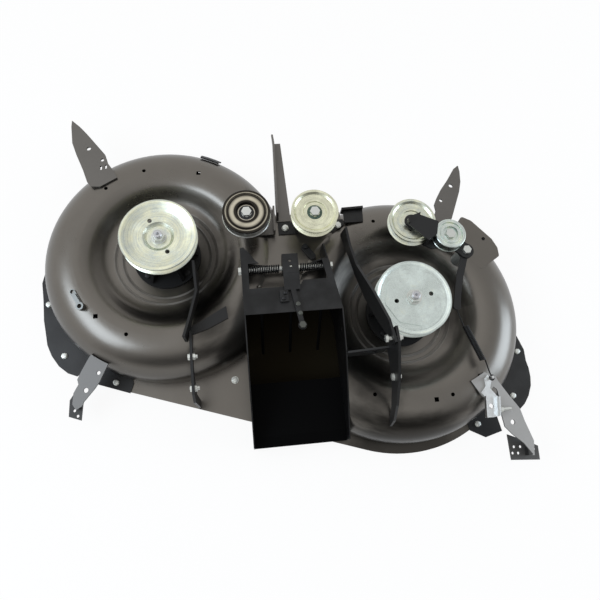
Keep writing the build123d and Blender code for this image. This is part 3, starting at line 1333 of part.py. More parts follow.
spring_anchor = from_seat(REAR_RIGHT_SEAT, [SPRING_ANCHOR])[0]
with BuildPart() as tension_spring:
    eye_r = SPRING_PIN_R + SPRING_WIRE_R + GAP
    hook = Vector(*ARM_TAIL, ARM_TAIL_Z - SPRING_HOOK_DROP)
    anchor = Vector(*spring_anchor, SPRING_ANCHOR_Z)
    pull = (anchor - hook).normalized()
    reach = (anchor - hook).length
    with Locations(hook, anchor):
        Torus(eye_r, SPRING_WIRE_R)
    with BuildSketch(Plane(origin=hook + pull * eye_r, z_dir=pull)):
        Circle(SPRING_WIRE_R)
    extrude(amount=reach - 2 * eye_r)
    with BuildSketch(Plane(origin=hook + pull * reach * SPRING_COIL_FROM, z_dir=pull)):
        Circle(SPRING_COIL_R)
    extrude(amount=reach * SPRING_COIL_SHARE)
save(tension_spring, "tension_spring")


# Cable bracket, washout fitting and small pieces on the shell
with BuildPart() as cable_bracket:
    cable_leg = [(4.0, 54.0), (-22.6, 80.4)]
    cable_edge = [(-45.7, 62.7), (-16.5, 32.3)]
    add(
        tilted_plate(
            REAR_RIGHT_SEAT,
            [
                (-17, 22), (0, 20), (8, 8), (20, 8), (20, 20), (4, 30), *cable_leg, (-32.6, 73.7),
                *cable_edge,
            ],
            PLATE,
            PLATE + CABLE_T,
            [(-20.2, 55.3, BRACKET_HOLE_R)],
        )
    )
    add(tilted_plate(REAR_RIGHT_SEAT, [*cable_leg, (-24.7, 78.3), (1.9, 51.9)], PLATE, PLATE + CABLE_LEG))
    add(tilted_plate(REAR_RIGHT_SEAT, [*cable_edge, (-14.4, 34.3), (-43.6, 64.7)], PLATE, PLATE + CABLE_EDGE))
    with BuildPart(mode=Mode.PRIVATE) as anchor_pin:
        with BuildSketch(hub_plane(spring_anchor, CREST_Z)):
            Circle(SPRING_PIN_R)
        extrude(amount=SPRING_ANCHOR_Z + 6 - CREST_Z)
        with BuildSketch(REAR_RIGHT_SEAT.offset(PLATE)):
            Rectangle(4 * PULLEY_R, 4 * PULLEY_R)
        extrude(amount=CREST_Z, mode=Mode.INTERSECT)
    add(anchor_pin.part)
save(cable_bracket, "cable_bracket")

with BuildPart() as cable_screw:
    screw_spot = from_seat(REAR_RIGHT_SEAT, [CABLE_SCREW_AT])[0]
    with BuildSketch(Plane(origin=(*screw_spot, CABLE_SCREW_Z), x_dir=(0, 1, 0), z_dir=(1, 0, 0))):
        RegularPolygon(CABLE_SCREW_HEAD_R, 6)
    extrude(amount=CABLE_SCREW_HEAD_R)
    with BuildSketch(Plane(origin=(*screw_spot, CABLE_SCREW_Z), x_dir=(0, 1, 0), z_dir=(1, 0, 0))):
        Circle(CABLE_SCREW_HEAD_R / 2)
    extrude(amount=4 * CABLE_SCREW_HEAD_R)
save(cable_screw, "cable_screw")

WASHOUT_SEAT = seat_plane("left", -151)
with BuildPart() as washout_fitting:
    ends = [(-WASHOUT_REACH, 0), (WASHOUT_REACH, 0)]
    with BuildSketch(WASHOUT_SEAT):
        SlotCenterToCenter(2 * WASHOUT_REACH, WASHOUT_WIDTH)
        with Locations(ends[1]):
            Circle(WASHOUT_RING_R)
        with Locations(ends[0]):
            Circle(VENT_HOLE_R, mode=Mode.SUBTRACT)
    extrude(amount=PLATE)
    with BuildSketch(WASHOUT_SEAT.offset(PLATE)):
        SlotCenterToCenter(WASHOUT_REACH, WASHOUT_WIDTH - 3)
    extrude(amount=PLATE)
    with BuildSketch(WASHOUT_SEAT.offset(PLATE)):
        with Locations(ends[1]):
            Circle(WASHOUT_RING_R)
    extrude(amount=WASHOUT_RING_T)
    with BuildSketch(WASHOUT_SEAT.offset(2 * PLATE + WASHOUT_RING_T)):
        with Locations(ends[1]):
            Circle(WASHOUT_BORE_R)
    extrude(amount=-WASHOUT_RING_T - PLATE - 2, mode=Mode.SUBTRACT)
save(washout_fitting, "washout_fitting")

with BuildPart() as belt_keeper:
    keeper_left = BRIDGE_HALF_WIDTH + KEEPER_INSET
    keeper_right = keeper_left + KEEPER_LENGTH
    spindle, bowl_r = BOWLS["right"]
    seat_r = math.hypot(keeper_right - 2 - spindle[0], KEEPER_REAR_Y - spindle[1])
    keeper_z = dome_height(seat_r, bowl_r) + FIT
    with BuildSketch(Plane.XY.offset(keeper_z)):
        Polygon(
            (keeper_left, KEEPER_REAR_Y), (keeper_right - 2, KEEPER_REAR_Y), (keeper_right, KEEPER_FRONT_Y),
            (keeper_left, KEEPER_FRONT_Y),
            align=None,
        )
    extrude(amount=CABLE_T)
    with BuildSketch(Plane.XY.offset(keeper_z - KEEPER_DROP)):
        Polygon(
            (keeper_left - 4, KEEPER_FRONT_Y - 2), (keeper_right, KEEPER_FRONT_Y),
            (keeper_right, KEEPER_FRONT_Y + KEEPER_LIP), (keeper_left - 4, KEEPER_FRONT_Y + KEEPER_LIP - 2),
            align=None,
        )
    extrude(amount=KEEPER_DROP + KEEPER_RISE)
save(belt_keeper, "belt_keeper")

with BuildPart() as stop_plate:
    with BuildSketch(Plane(origin=(50, 48, STOP_Z), x_dir=(15, -22, 0), z_dir=(0, 0, 1))):
        SlotCenterToCenter(26, 14)
    extrude(amount=5)
    with BuildSketch(Plane(origin=(43, 59, STOP_Z + 5), x_dir=(1, 0, 0), z_dir=(0, 0, 1))):
        RegularPolygon(6, 6)
    extrude(amount=5)
save(stop_plate, "stop_plate")
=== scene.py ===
import math

import bmesh
import bpy
from bpy.props import FloatProperty, FloatVectorProperty, IntProperty, PointerProperty
from mathutils import Matrix, Vector
from mathutils.bvhtree import BVHTree


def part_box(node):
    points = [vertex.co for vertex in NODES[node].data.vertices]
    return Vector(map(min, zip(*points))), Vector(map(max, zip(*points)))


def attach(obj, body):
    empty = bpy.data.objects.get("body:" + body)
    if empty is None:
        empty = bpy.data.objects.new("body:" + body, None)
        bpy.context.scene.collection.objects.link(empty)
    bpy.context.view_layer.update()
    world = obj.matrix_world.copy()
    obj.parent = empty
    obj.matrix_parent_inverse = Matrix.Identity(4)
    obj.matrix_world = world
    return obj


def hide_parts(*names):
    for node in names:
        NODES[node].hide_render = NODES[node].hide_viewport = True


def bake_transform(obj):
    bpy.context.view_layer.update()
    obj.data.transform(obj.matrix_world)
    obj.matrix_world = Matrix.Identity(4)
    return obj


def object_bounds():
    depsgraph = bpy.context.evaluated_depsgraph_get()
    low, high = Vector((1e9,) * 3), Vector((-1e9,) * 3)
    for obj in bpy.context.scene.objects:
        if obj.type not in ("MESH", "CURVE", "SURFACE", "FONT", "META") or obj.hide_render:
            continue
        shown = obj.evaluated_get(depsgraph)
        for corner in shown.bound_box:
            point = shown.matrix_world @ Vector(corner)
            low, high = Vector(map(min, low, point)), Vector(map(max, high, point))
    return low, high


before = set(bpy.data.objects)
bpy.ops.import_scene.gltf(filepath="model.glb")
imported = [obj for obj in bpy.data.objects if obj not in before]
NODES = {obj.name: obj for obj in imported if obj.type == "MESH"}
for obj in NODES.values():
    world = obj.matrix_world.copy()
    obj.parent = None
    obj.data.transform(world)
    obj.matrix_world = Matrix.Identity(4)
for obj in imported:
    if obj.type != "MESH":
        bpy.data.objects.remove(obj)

bl_info = {
    "name": "Mower Deck Looks",
    "version": (1, 0, 0),
    "blender": (4, 5, 0),
    "location": "View3D > Sidebar > Deck",
    "description": "Finishes, springs, fasteners and studio of a twin-blade mower deck",
    "category": "Object",
}

CAD_BOX = [list(corner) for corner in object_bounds()]
MM = 0.001
WELD = 0.002 * MM
SIDES = ("left", "right")
SEALED_IDLERS = ("flat_idler", "mid_idler", "v_idler")

# Sizes and places in plan, in mm; headings in degrees from +X

# Ovals of painted shade on the shell: middle x, y and half sizes in mm
SHELL_PAINTED_SHADE = (
    (-170, 10, 60, 180), (150, -130, 80, 235), (230, -365, 175, 62), (345, -75, 42, 105), (280, 55, 85, 55),
)
STEP_BROWS = (93.6, 108.6)
SHADED_FLOOR = {"left": 261, "right": 268}
# Rear brackets per side: share of their grey, left darker and right lighter as painted shade and highlight,
# and the height in mm below which painted shade darkens them
REAR_BRACKET_SHADING = {"left": (0.70, 52), "right": (1.30, 76)}
SEAL_SECTION = (
    (10.3, -6.9), (15.7, -6.9), (15.7, -6.3), (14.6, -6.0), (13.0, -6.4), (11.4, -6.0), (10.3, -6.3),
)
CLIP_SECTION = ((246.0, 96.0), (252.0, 90.5), (258.5, 81.0), (261.0, 82.3), (254.5, 93.0), (247.3, 99.0))
CLIP_FROM, CLIP_SWEEP, CLIP_STEPS = 60.4, 10.0, 12
KNOB_SECTION = ((0.4, 6.5), (4.4, 6.5), (4.4, 8.5), (3.6, 10.2), (2.0, 11.2), (0.4, 11.5))
FLANGE_BOLT = (-127.0, -195.3)
LATCH_SCREWS = ((10.4, -85), (13.2, -104))
EAR_HEADING, EAR_RADIUS = 35.6, 252.0
STAPLES = {"left": (-62.0, -27.0), "right": (57.0, -25.0)}
STAPLE_HALF, STAPLE_HEIGHT, STAPLE_WIRE = 3.5, 18, 1.4
EYE_STEPS, COIL_STEPS, EYE_TURN = 20, 20, 1.8
AS_MADE = (1, 1, 1)


# Node trees


class Signal:
    """A node's output that takes part in Python sums; each operator adds one Math node."""

    def __init__(self, nodes, socket):
        self.nodes = nodes
        self.socket = socket

    def also(self, output):
        """Another output of the same node."""
        return Signal(self.nodes, self.socket.node.outputs[output])

    def math(self, operation, first, second=0.0):
        return self.nodes.add("ShaderNodeMath", {"operation": operation}, {0: first, 1: second})

    def __add__(self, other):
        return self.math("ADD", self, other)

    def __radd__(self, other):
        return self.math("ADD", other, self)

    def __sub__(self, other):
        return self.math("SUBTRACT", self, other)

    def __rsub__(self, other):
        return self.math("SUBTRACT", other, self)

    def __mul__(self, other):
        return self.math("MULTIPLY", self, other)

    def __rmul__(self, other):
        return self.math("MULTIPLY", other, self)

    def __pow__(self, other):
        return self.math("POWER", self, other)

    def __gt__(self, other):
        return self.math("GREATER_THAN", self, other)

    def __lt__(self, other):
        return self.math("LESS_THAN", self, other)

    def most(self, other):
        return self.math("MAXIMUM", self, other)

    def size(self):
        return self.math("ABSOLUTE", self)

    def between(self, low, high):
        """0 at low, 1 at high, held at both ends, with a soft start and stop."""
        inputs = {"Value": self, "From Min": low, "From Max": high}
        return self.nodes.add("ShaderNodeMapRange", {"interpolation_type": "SMOOTHSTEP"}, inputs)


class Nodes:
    """A node tree and the one way to add a node to it."""

    def __init__(self, tree):
        self.tree = tree
        tree.nodes.clear()

    def add(self, kind, settings=None, inputs=None, output=0):
        """A new node: first its settings, then the values or links of its sockets."""
        node = self.tree.nodes.new(kind)
        for name, value in (settings or {}).items():
            if name == "stops":
                self.set_stops(node.color_ramp, value)
            else:
                setattr(node, name, value)
        for name, value in (inputs or {}).items():
            if isinstance(value, Signal):
                self.tree.links.new(value.socket, node.inputs[name])
            else:
                node.inputs[name].default_value = value
        return Signal(self, node.outputs[output]) if node.outputs else node

    @staticmethod
    def set_stops(ramp, stops):
        while len(ramp.elements) < len(stops):
            ramp.elements.new(1.0)
        for element, (place, colour) in zip(ramp.elements, stops):
            element.position = place
            element.color = rgba(colour)

    def object_space(self, centre=(0, 0, 0), turn=0.0, stretch=(1, 1, 1)):
        """Object coordinates in metres, seen from a centre, turned about Z and stretched."""
        where = self.add("ShaderNodeTexCoord", None, None, "Object")
        moved = self.add("ShaderNodeVectorMath", {"operation": "SUBTRACT"}, {0: where, 1: tuple(centre)})
        inputs = {"Vector": moved, "Rotation": (0, 0, turn), "Scale": stretch}
        return self.add("ShaderNodeMapping", None, inputs)

    def axes(self, vector):
        """The X, Y and Z of a vector as three signals."""
        x = self.add("ShaderNodeSeparateXYZ", None, {0: vector})
        return x, x.also("Y"), x.also("Z")

    def facing(self, vector, way):
        """How far a vector points along a unit direction."""
        unit = tuple(Vector(way).normalized())
        return self.add("ShaderNodeVectorMath", {"operation": "DOT_PRODUCT"}, {0: vector, 1: unit}, "Value")

    def noise(self, where, scale, detail=2.0, roughness=0.5):
        inputs = {"Vector": where, "Scale": scale, "Detail": detail, "Roughness": roughness}
        return self.add("ShaderNodeTexNoise", None, inputs)

    def rings(self, radius, scale, detail=2.0):
        """Turned lines: noise along the radius alone."""
        inputs = {"W": radius, "Scale": scale, "Detail": detail}
        return self.add("ShaderNodeTexNoise", {"noise_dimensions": "1D"}, inputs)

    def arcs(self, x, y, radius, across, along):
        """Streaks that run round the Z axis: fine across, slow along."""
        east = self.add("ShaderNodeMath", {"operation": "DIVIDE"}, {0: x, 1: radius}) * along
        north = self.add("ShaderNodeMath", {"operation": "DIVIDE"}, {0: y, 1: radius}) * along
        wound = self.add("ShaderNodeCombineXYZ", None, {0: radius * across, 1: east, 2: north})
        return self.noise(wound, 1.0, 3.0)

    def mix(self, factor, first, second):
        values = [value if isinstance(value, Signal) else rgba(value) for value in (first, second)]
        inputs = {0: factor, 6: values[0], 7: values[1]}
        return self.add("ShaderNodeMix", {"data_type": "RGBA"}, inputs, 2)

    def shade(self, colour, amount):
        """A colour made lighter or darker."""
        value = colour if isinstance(colour, Signal) else tuple(colour)
        return self.add("ShaderNodeVectorMath", {"operation": "SCALE"}, {0: value, "Scale": amount})

    def bump(self, height, strength, distance):
        inputs = {"Height": height, "Strength": strength, "Distance": distance}
        return self.add("ShaderNodeBump", None, inputs)

    def upness(self):
        """1 on faces that look up, 0 on walls and undersides."""
        normal = self.add("ShaderNodeNewGeometry", None, None, "Normal")
        return self.axes(normal)[2].between(0.2, 0.95)

    def surface(self, inputs):
        shader = self.add("ShaderNodeBsdfPrincipled", None, inputs)
        self.add("ShaderNodeOutputMaterial", None, {"Surface": shader})


def rgba(colour):
    return (*colour[:3], 1.0)


def new_finish(name):
    material = bpy.data.materials.new(name)
    material.use_nodes = True
    return material, Nodes(material.node_tree)


# Finishes


def pressed_paint(name, colour, metal, gloss, wall=0.6, pressed=(), shade_patches=(), foot=0.0):
    """Satin metal-fleck coat on pressed sheet: slow drift, fleck, a faint orange peel, and painted shade on
    steep walls and undersides.

    Round each pressed centre the brows of the ring steps get a painted highlight, lighter and less metallic.
    Each shade patch is an oval, given by its middle and half sizes in mm, where painted shade darkens the
    coat. Below the foot height painted shade darkens it too."""
    material, nodes = new_finish(name)
    where = nodes.object_space()
    drift = nodes.noise(where, 7.0, 3.0)
    fleck = nodes.noise(where, 2600.0, 1.0)
    peel = nodes.noise(where, 380.0, 2.0)
    smear = nodes.noise(nodes.object_space(stretch=(1, 1, 6)), 26.0, 4.0)
    # Painted shade: steep walls and undersides come out darker than faces that look up
    painted_wall_shade = wall + (1.0 - wall) * nodes.upness()
    level = (0.88 + 0.22 * (drift - 0.5) + 0.10 * (fleck - 0.5) + 0.10 * (smear - 0.5)) * painted_wall_shade
    # Painted shade: each oval darkens the coat to about a third at its middle
    for x_mid, y_mid, x_half, y_half in shade_patches:
        x, y = nodes.axes(nodes.object_space(Vector((x_mid, y_mid, 0)) * MM))[:2]
        x = x * (1.0 / (x_half * MM))
        y = y * (1.0 / (y_half * MM))
        spread = (x * x + y * y) ** 0.5 + 0.5 * (smear - 0.5)
        level = level * (0.32 + 0.68 * spread.between(0.45, 1.15))
    # Painted shade: below the foot height the coat darkens
    if foot:
        level = level * (0.22 + 0.78 * nodes.axes(where)[2].between(foot - 3 * MM, foot + 3 * MM))
    lustre = metal
    for centre in pressed:
        x, y = nodes.axes(nodes.object_space(centre))[:2]
        radius = (x * x + y * y) ** 0.5 * (1.0 / MM)
        # Painted highlight: near each step brow the coat is made lighter and less metallic
        for brow in STEP_BROWS:
            brow_glint = 1 - (radius - brow).size().between(2.0, 3.8)
            level = level * (1 + (0.2 + 1.2 * smear) * brow_glint)
            lustre = lustre * (1 - 0.85 * brow_glint)
    nodes.surface({
        "Base Color": nodes.shade(colour, level),
        "Metallic": lustre,
        "Roughness": gloss + 0.08 * (drift - 0.5) + 0.06 * (smear - 0.5),
        "Normal": nodes.bump(peel, 0.03, 0.2 * MM),
    })
    return material


def black_paint(name, colour, gloss, dust, shine):
    """Semi-gloss black with a little dust where faces look up."""
    material, nodes = new_finish(name)
    where = nodes.object_space()
    cloud = nodes.noise(where, 24.0, 4.0)
    speck = nodes.noise(where, 700.0, 2.0)
    peel = nodes.noise(where, 520.0, 2.0)
    settled = nodes.upness() * cloud.between(0.30, 0.75) * (0.6 + 0.8 * (speck - 0.5))
    lighter = tuple(0.035 + 0.5 * value for value in colour)
    nodes.surface({
        "Base Color": nodes.mix(settled * dust, colour, lighter),
        "Roughness": gloss + 0.12 * cloud,
        "Specular IOR Level": shine,
        "Normal": nodes.bump(peel, 0.10, 0.2 * MM),
    })
    return material


def sand_cast(name, colour):
    """Painted iron casting with the grain of its sand mould."""
    material, nodes = new_finish(name)
    where = nodes.object_space()
    grain = nodes.noise(where, 320.0, 4.0, 0.62)
    cloud = nodes.noise(where, 30.0, 3.0)
    nodes.surface({
        "Base Color": nodes.shade(colour, 0.7 + 0.6 * cloud),
        "Roughness": 0.34 + 0.18 * grain,
        "Specular IOR Level": 0.45,
        "Normal": nodes.bump(grain, 0.35, 0.5 * MM),
    })
    return material


def turned_zinc(name, node, warm, cool, warmth, turned_from=0.0):
    """Zinc plate on a spun disc: long turned arcs and sweeps, partly turning marks and partly painted sheen,
    mottled passivation, pale stains and small spangles.
    """
    material, nodes = new_finish(name)
    where = nodes.object_space(middle(node))
    x, y = nodes.axes(where)[:2]
    radius = (x * x + y * y) ** 0.5
    lines = nodes.rings(radius, 1500.0, 3.0)
    bands = nodes.rings(radius, 190.0, 3.0)
    arcs = nodes.arcs(x, y, radius, 520.0, 1.6)
    sweep = nodes.arcs(x, y, radius, 90.0, 2.4)
    mottle = nodes.noise(where, 52.0, 5.0, 0.65)
    stain = nodes.noise(where, 21.0, 5.0, 0.7).between(0.50, 0.66)
    spangle = nodes.add("ShaderNodeTexVoronoi", None, {"Vector": where, "Scale": 420.0})
    spun = (radius * (1.0 / MM)).between(turned_from - 1.5, turned_from + 1.5) if turned_from else 1.0
    # Partly turning marks, partly painted sheen: the arcs, bands and sweeps lighten, darken and tint the zinc
    bloom = (0.6 * mottle + 0.4 * sweep + 0.4 * (bands - 0.5) + warmth - 0.5).between(0.25, 0.75)
    turned = (0.55 * (arcs - 0.5) + 0.45 * (bands - 0.5) + 0.25 * (sweep - 0.5)) * spun
    level = 0.94 + turned + 0.30 * (mottle - 0.5) + 0.10 * stain - 0.10 * spangle.between(0.0, 0.9)
    nodes.surface({
        "Base Color": nodes.shade(nodes.mix(bloom, cool, warm), level),
        "Metallic": 1.0,
        "Roughness": 0.19 + 0.20 * mottle + 0.10 * stain,
        "Normal": nodes.bump((lines + arcs + 0.6 * bands) * spun + 0.5 * mottle, 0.50, 0.12 * MM),
    })
    return material


def bright_zinc(name, colour):
    """Plain zinc plate on small pressed pieces and fasteners."""
    material, nodes = new_finish(name)
    where = nodes.object_space()
    mottle = nodes.noise(where, 120.0, 3.0)
    scratch = nodes.noise(nodes.object_space(turn=0.6, stretch=(1, 9, 1)), 260.0, 3.0)
    nodes.surface({
        "Base Color": nodes.shade(colour, 0.82 + 0.3 * mottle + 0.08 * (scratch - 0.5)),
        "Metallic": 1.0,
        "Roughness": 0.24 + 0.18 * mottle,
        "Normal": nodes.bump(scratch, 0.10, 0.08 * MM),
    })
    return material


def burnished_idler(name, node, dark, brass, bright):
    """Dark phosphate idler: brassy rings on its face, black groove and lip, belt-polished side, and a painted
    sheen that sweeps round the face.
    """
    material, nodes = new_finish(name)
    low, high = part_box(node)
    where = nodes.object_space((low + high) / 2)
    x, y, z = nodes.axes(where)
    rim = (high.x - low.x) / 2
    radius = (x * x + y * y) ** 0.5
    grey = tuple(0.45 * first + 0.55 * second for first, second in zip(brass, dark))
    turned = [
        (0.30, bright), (0.34, brass), (0.36, dark), (0.50, dark), (0.52, grey), (0.56, brass), (0.64, brass),
        (0.70, grey), (0.73, dark), (0.80, dark), (0.82, grey), (0.845, brass), (0.87, grey), (0.89, dark),
        (0.99, dark),
    ]
    face = nodes.add("ShaderNodeValToRGB", {"stops": turned}, {0: radius * (1.0 / rim)})
    lines = nodes.rings(radius, 1300.0, 3.0)
    mottle = nodes.noise(where, 70.0, 4.0)
    sweep = nodes.arcs(x, y, radius, 60.0, 1.3)
    side = z < (high.z - low.z) / 2 - 3.2 * MM
    colour = nodes.mix(side * (radius > 0.85 * rim), face, bright)
    # Painted sheen: the slow sweep round the axis makes one side of the face lighter and the other darker
    nodes.surface({
        "Base Color": nodes.shade(colour, 0.30 + 0.3 * lines + 0.3 * mottle + 0.6 * sweep),
        "Metallic": 0.95,
        "Roughness": 0.26 + 0.16 * mottle,
        "Normal": nodes.bump(lines, 0.14, 0.1 * MM),
    })
    return material


def drawn_wire(name, colour):
    """Oiled spring wire with fine die lines."""
    material, nodes = new_finish(name)
    where = nodes.object_space()
    streak = nodes.noise(where, 480.0, 3.0)
    nodes.surface({
        "Base Color": nodes.shade(colour, 0.6 + 0.8 * streak),
        "Metallic": 0.85,
        "Roughness": 0.26 + 0.16 * streak,
        "Normal": nodes.bump(streak, 0.15, 0.05 * MM),
    })
    return material


def seal_rubber(name, colour):
    """Moulded bearing seal."""
    material, nodes = new_finish(name)
    cloud = nodes.noise(nodes.object_space(), 160.0, 3.0)
    nodes.surface({
        "Base Color": nodes.shade(colour, 0.7 + 0.6 * cloud),
        "Roughness": 0.45 + 0.15 * cloud,
        "Normal": nodes.bump(cloud, 0.10, 0.1 * MM),
    })
    return material


def scuffed_blade(name, node, colour, bright):
    """Black blade, scuffed bright in patches."""
    material, nodes = new_finish(name)
    where = nodes.object_space(middle(node))
    cloud = nodes.noise(where, 40.0, 4.0)
    peel = nodes.noise(where, 500.0, 2.0)
    scuff = cloud.between(0.62, 0.80)
    nodes.surface({
        "Base Color": nodes.mix(scuff * 0.5, colour, bright),
        "Metallic": 0.25,
        "Roughness": 0.36 + 0.2 * cloud,
        "Normal": nodes.bump(peel, 0.12, 0.2 * MM),
    })
    return material


# Meshes


def middle(node):
    low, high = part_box(node)
    return (low + high) / 2


def on_top(node, x, y):
    """Highest point of a CAD node over a point in plan."""
    mesh = NODES[node].data
    faces = [tuple(polygon.vertices) for polygon in mesh.polygons]
    tree = BVHTree.FromPolygons([vertex.co for vertex in mesh.vertices], faces)
    hit = tree.ray_cast(Vector((x, y, 1.0)), Vector((0, 0, -1)))[0]
    if hit is None:
        raise ValueError(f"nothing of {node} at {x:.3f}, {y:.3f}")
    return hit


def dress(material, *nodes):
    """Gives CAD nodes a finish."""
    for node in nodes:
        slots = NODES[node].data.materials
        slots.clear()
        slots.append(material)


def solids_of(node):
    """Boxes of the separate solids in one node, from left to right."""
    work = bmesh.new()
    work.from_mesh(NODES[node].data)
    bmesh.ops.remove_doubles(work, verts=work.verts, dist=WELD)
    unseen = set(work.verts)
    boxes = []
    while unseen:
        front = [unseen.pop()]
        low = front[0].co.copy()
        high = low.copy()
        while front:
            vertex = front.pop()
            low = Vector(map(min, low, vertex.co))
            high = Vector(map(max, high, vertex.co))
            near = {edge.other_vert(vertex) for edge in vertex.link_edges} & unseen
            unseen -= near
            front.extend(near)
        boxes.append((low, high))
    work.free()
    return sorted(boxes, key=lambda box: tuple(round(value, 5) for value in box[0]))


def mesh_of(name, work, material=None, smooth_angle=40.0):
    """Plain mesh from a bmesh, with outward faces and sharp edges marked by angle."""
    bmesh.ops.recalc_face_normals(work, faces=work.faces)
    mesh = bpy.data.meshes.new(name)
    work.to_mesh(mesh)
    work.free()
    if material:
        mesh.materials.append(material)
    mesh.shade_smooth()
    mesh.set_sharp_from_angle(angle=math.radians(smooth_angle))
    return mesh


def join_rows(work, pairs):
    """Closed bands of faces between pairs of point rings."""
    for first, second in pairs:
        for index in range(len(first)):
            after = (index + 1) % len(first)
            work.faces.new((first[index], first[after], second[after], second[index]))


def lathe(work, profile, centre, steps):
    """Turns an (r, z) section, given in metres from a centre, into a closed ring."""
    rows = []
    for radius, height in profile:
        row = []
        for step in range(steps):
            turn = 2 * math.pi * step / steps
            offset = Vector((radius * math.cos(turn), radius * math.sin(turn), height))
            row.append(work.verts.new(Vector(centre) + offset))
        rows.append(row)
    join_rows(work, zip(rows, rows[1:] + rows[:1]))


def hex_shape(name, across, height, washer_r, washer_t, steps=48):
    """Hex head or nut on a washer face, with its corners turned off; it stands on the XY plane."""
    work = bmesh.new()
    flat = across / 2
    turned = 0.97 * flat
    rows = [[], [], [], [], []]
    for step in range(steps):
        turn = 2 * math.pi * step / steps
        corner = (turn + math.pi / 6) % (math.pi / 3) - math.pi / 6
        radius = flat / math.cos(corner)
        unit = Vector((math.cos(turn), math.sin(turn), 0))
        drop = max(0.0, radius - turned) * math.tan(math.radians(30))
        rows[0].append(work.verts.new(unit * washer_r))
        rows[1].append(work.verts.new(unit * washer_r + Vector((0, 0, washer_t))))
        rows[2].append(work.verts.new(unit * radius + Vector((0, 0, washer_t))))
        rows[3].append(work.verts.new(unit * radius + Vector((0, 0, height - drop))))
        rows[4].append(work.verts.new(unit * turned * 0.98 + Vector((0, 0, height))))
    work.faces.new(rows[-1])
    work.faces.new(rows[0])
    join_rows(work, zip(rows, rows[1:]))
    return mesh_of(name, work, None, 25.0)


def piece(name, mesh, body, slot, *replaced):
    """A new piece that moves with a body and may stand for CAD nodes."""
    made = bpy.data.objects.new(name, mesh)
    bpy.context.scene.collection.objects.link(made)
    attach(made, body)
    if replaced:
        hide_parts(*replaced)
    return made


# Geometry Nodes


def new_tree(name, inputs):
    """An empty Geometry Nodes tree with named inputs, as (tree, its nodes, the input signals)."""
    tree = bpy.data.node_groups.new(name, "GeometryNodeTree")
    for label, kind in inputs:
        tree.interface.new_socket(label, in_out="INPUT", socket_type=kind)
    tree.interface.new_socket("Geometry", in_out="OUTPUT", socket_type="NodeSocketGeometry")
    nodes = Nodes(tree)
    first = nodes.add("NodeGroupInput")
    return tree, nodes, {label: first.also(label) for label, kind in inputs}


def close_tree(nodes, shape, finish):
    """Ends a tree in plain faces with a material."""
    solid = nodes.add("GeometryNodeRealizeInstances", None, {"Geometry": shape})
    painted = nodes.add("GeometryNodeSetMaterial", None, {"Geometry": solid, "Material": finish})
    nodes.add("NodeGroupOutput", None, {"Geometry": painted})


def close_wire(nodes, line, given, sides):
    """Ends a tree in capped round wire along a curve."""
    section = {"Resolution": sides, "Radius": given["Wire Radius"]}
    ring = nodes.add("GeometryNodeCurvePrimitiveCircle", None, section)
    inputs = {"Curve": line, "Profile Curve": ring, "Fill Caps": True}
    tube = nodes.add("GeometryNodeCurveToMesh", None, inputs)
    smooth = nodes.add("GeometryNodeSetShadeSmooth", None, {"Geometry": tube})
    close_tree(nodes, smooth, given["Finish"])


def coil_tree():
    """Wire wound round the Z axis from the origin up."""
    tree, nodes, given = new_tree("wound_wire", [
        ("Turns", "NodeSocketFloat"),
        ("Coil Radius", "NodeSocketFloat"),
        ("Length", "NodeSocketFloat"),
        ("Wire Radius", "NodeSocketFloat"),
        ("Finish", "NodeSocketMaterial"),
    ])
    inputs = {
        "Resolution": 28,
        "Rotations": given["Turns"],
        "Start Radius": given["Coil Radius"],
        "End Radius": given["Coil Radius"],
        "Height": given["Length"],
    }
    close_wire(nodes, nodes.add("GeometryNodeCurveSpiral", None, inputs), given, 10)
    return tree


def wire_tree():
    """Round wire along the edges of a mesh."""
    tree, nodes, given = new_tree("bent_wire", [
        ("Geometry", "NodeSocketGeometry"),
        ("Wire Radius", "NodeSocketFloat"),
        ("Finish", "NodeSocketMaterial"),
    ])
    close_wire(nodes, nodes.add("GeometryNodeMeshToCurve", None, {"Mesh": given["Geometry"]}), given, 12)
    return tree


def fastener_tree():
    """One shape on every point of a mesh, turned and stretched by the points' attributes."""
    tree, nodes, given = new_tree("set_fasteners", [
        ("Geometry", "NodeSocketGeometry"),
        ("Shape", "NodeSocketObject"),
        ("Finish", "NodeSocketMaterial"),
    ])
    shape = nodes.add("GeometryNodeObjectInfo", None, {"Object": given["Shape"]}, "Geometry")
    turn = nodes.add("GeometryNodeInputNamedAttribute", {"data_type": "FLOAT_VECTOR"}, {"Name": "turn"})
    stretch = nodes.add("GeometryNodeInputNamedAttribute", {"data_type": "FLOAT_VECTOR"}, {"Name": "stretch"})
    inputs = {"Points": given["Geometry"], "Instance": shape, "Rotation": turn, "Scale": stretch}
    set_out = nodes.add("GeometryNodeInstanceOnPoints", None, inputs)
    close_tree(nodes, set_out, given["Finish"])
    return tree


def grown(name, tree, inputs, base=None):
    """The plain mesh that a tree makes from its named inputs."""
    holder = bpy.data.objects.new(name, base or bpy.data.meshes.new(name))
    bpy.context.scene.collection.objects.link(holder)
    modifier = holder.modifiers.new("grow", "NODES")
    modifier.node_group = tree
    for item in tree.interface.items_tree:
        if item.in_out == "INPUT" and item.name in inputs:
            modifier[item.identifier] = inputs[item.name]
    graph = bpy.context.evaluated_depsgraph_get()
    mesh = bpy.data.meshes.new_from_object(holder.evaluated_get(graph))
    bpy.data.objects.remove(holder)
    mesh.name = name
    mesh.materials.clear()
    mesh.materials.append(inputs["Finish"])
    mesh.polygons.foreach_set("material_index", [0] * len(mesh.polygons))
    return mesh


def path_mesh(name, points):
    mesh = bpy.data.meshes.new(name)
    mesh.from_pydata(points, [(index, index + 1) for index in range(len(points) - 1)], [])
    return mesh


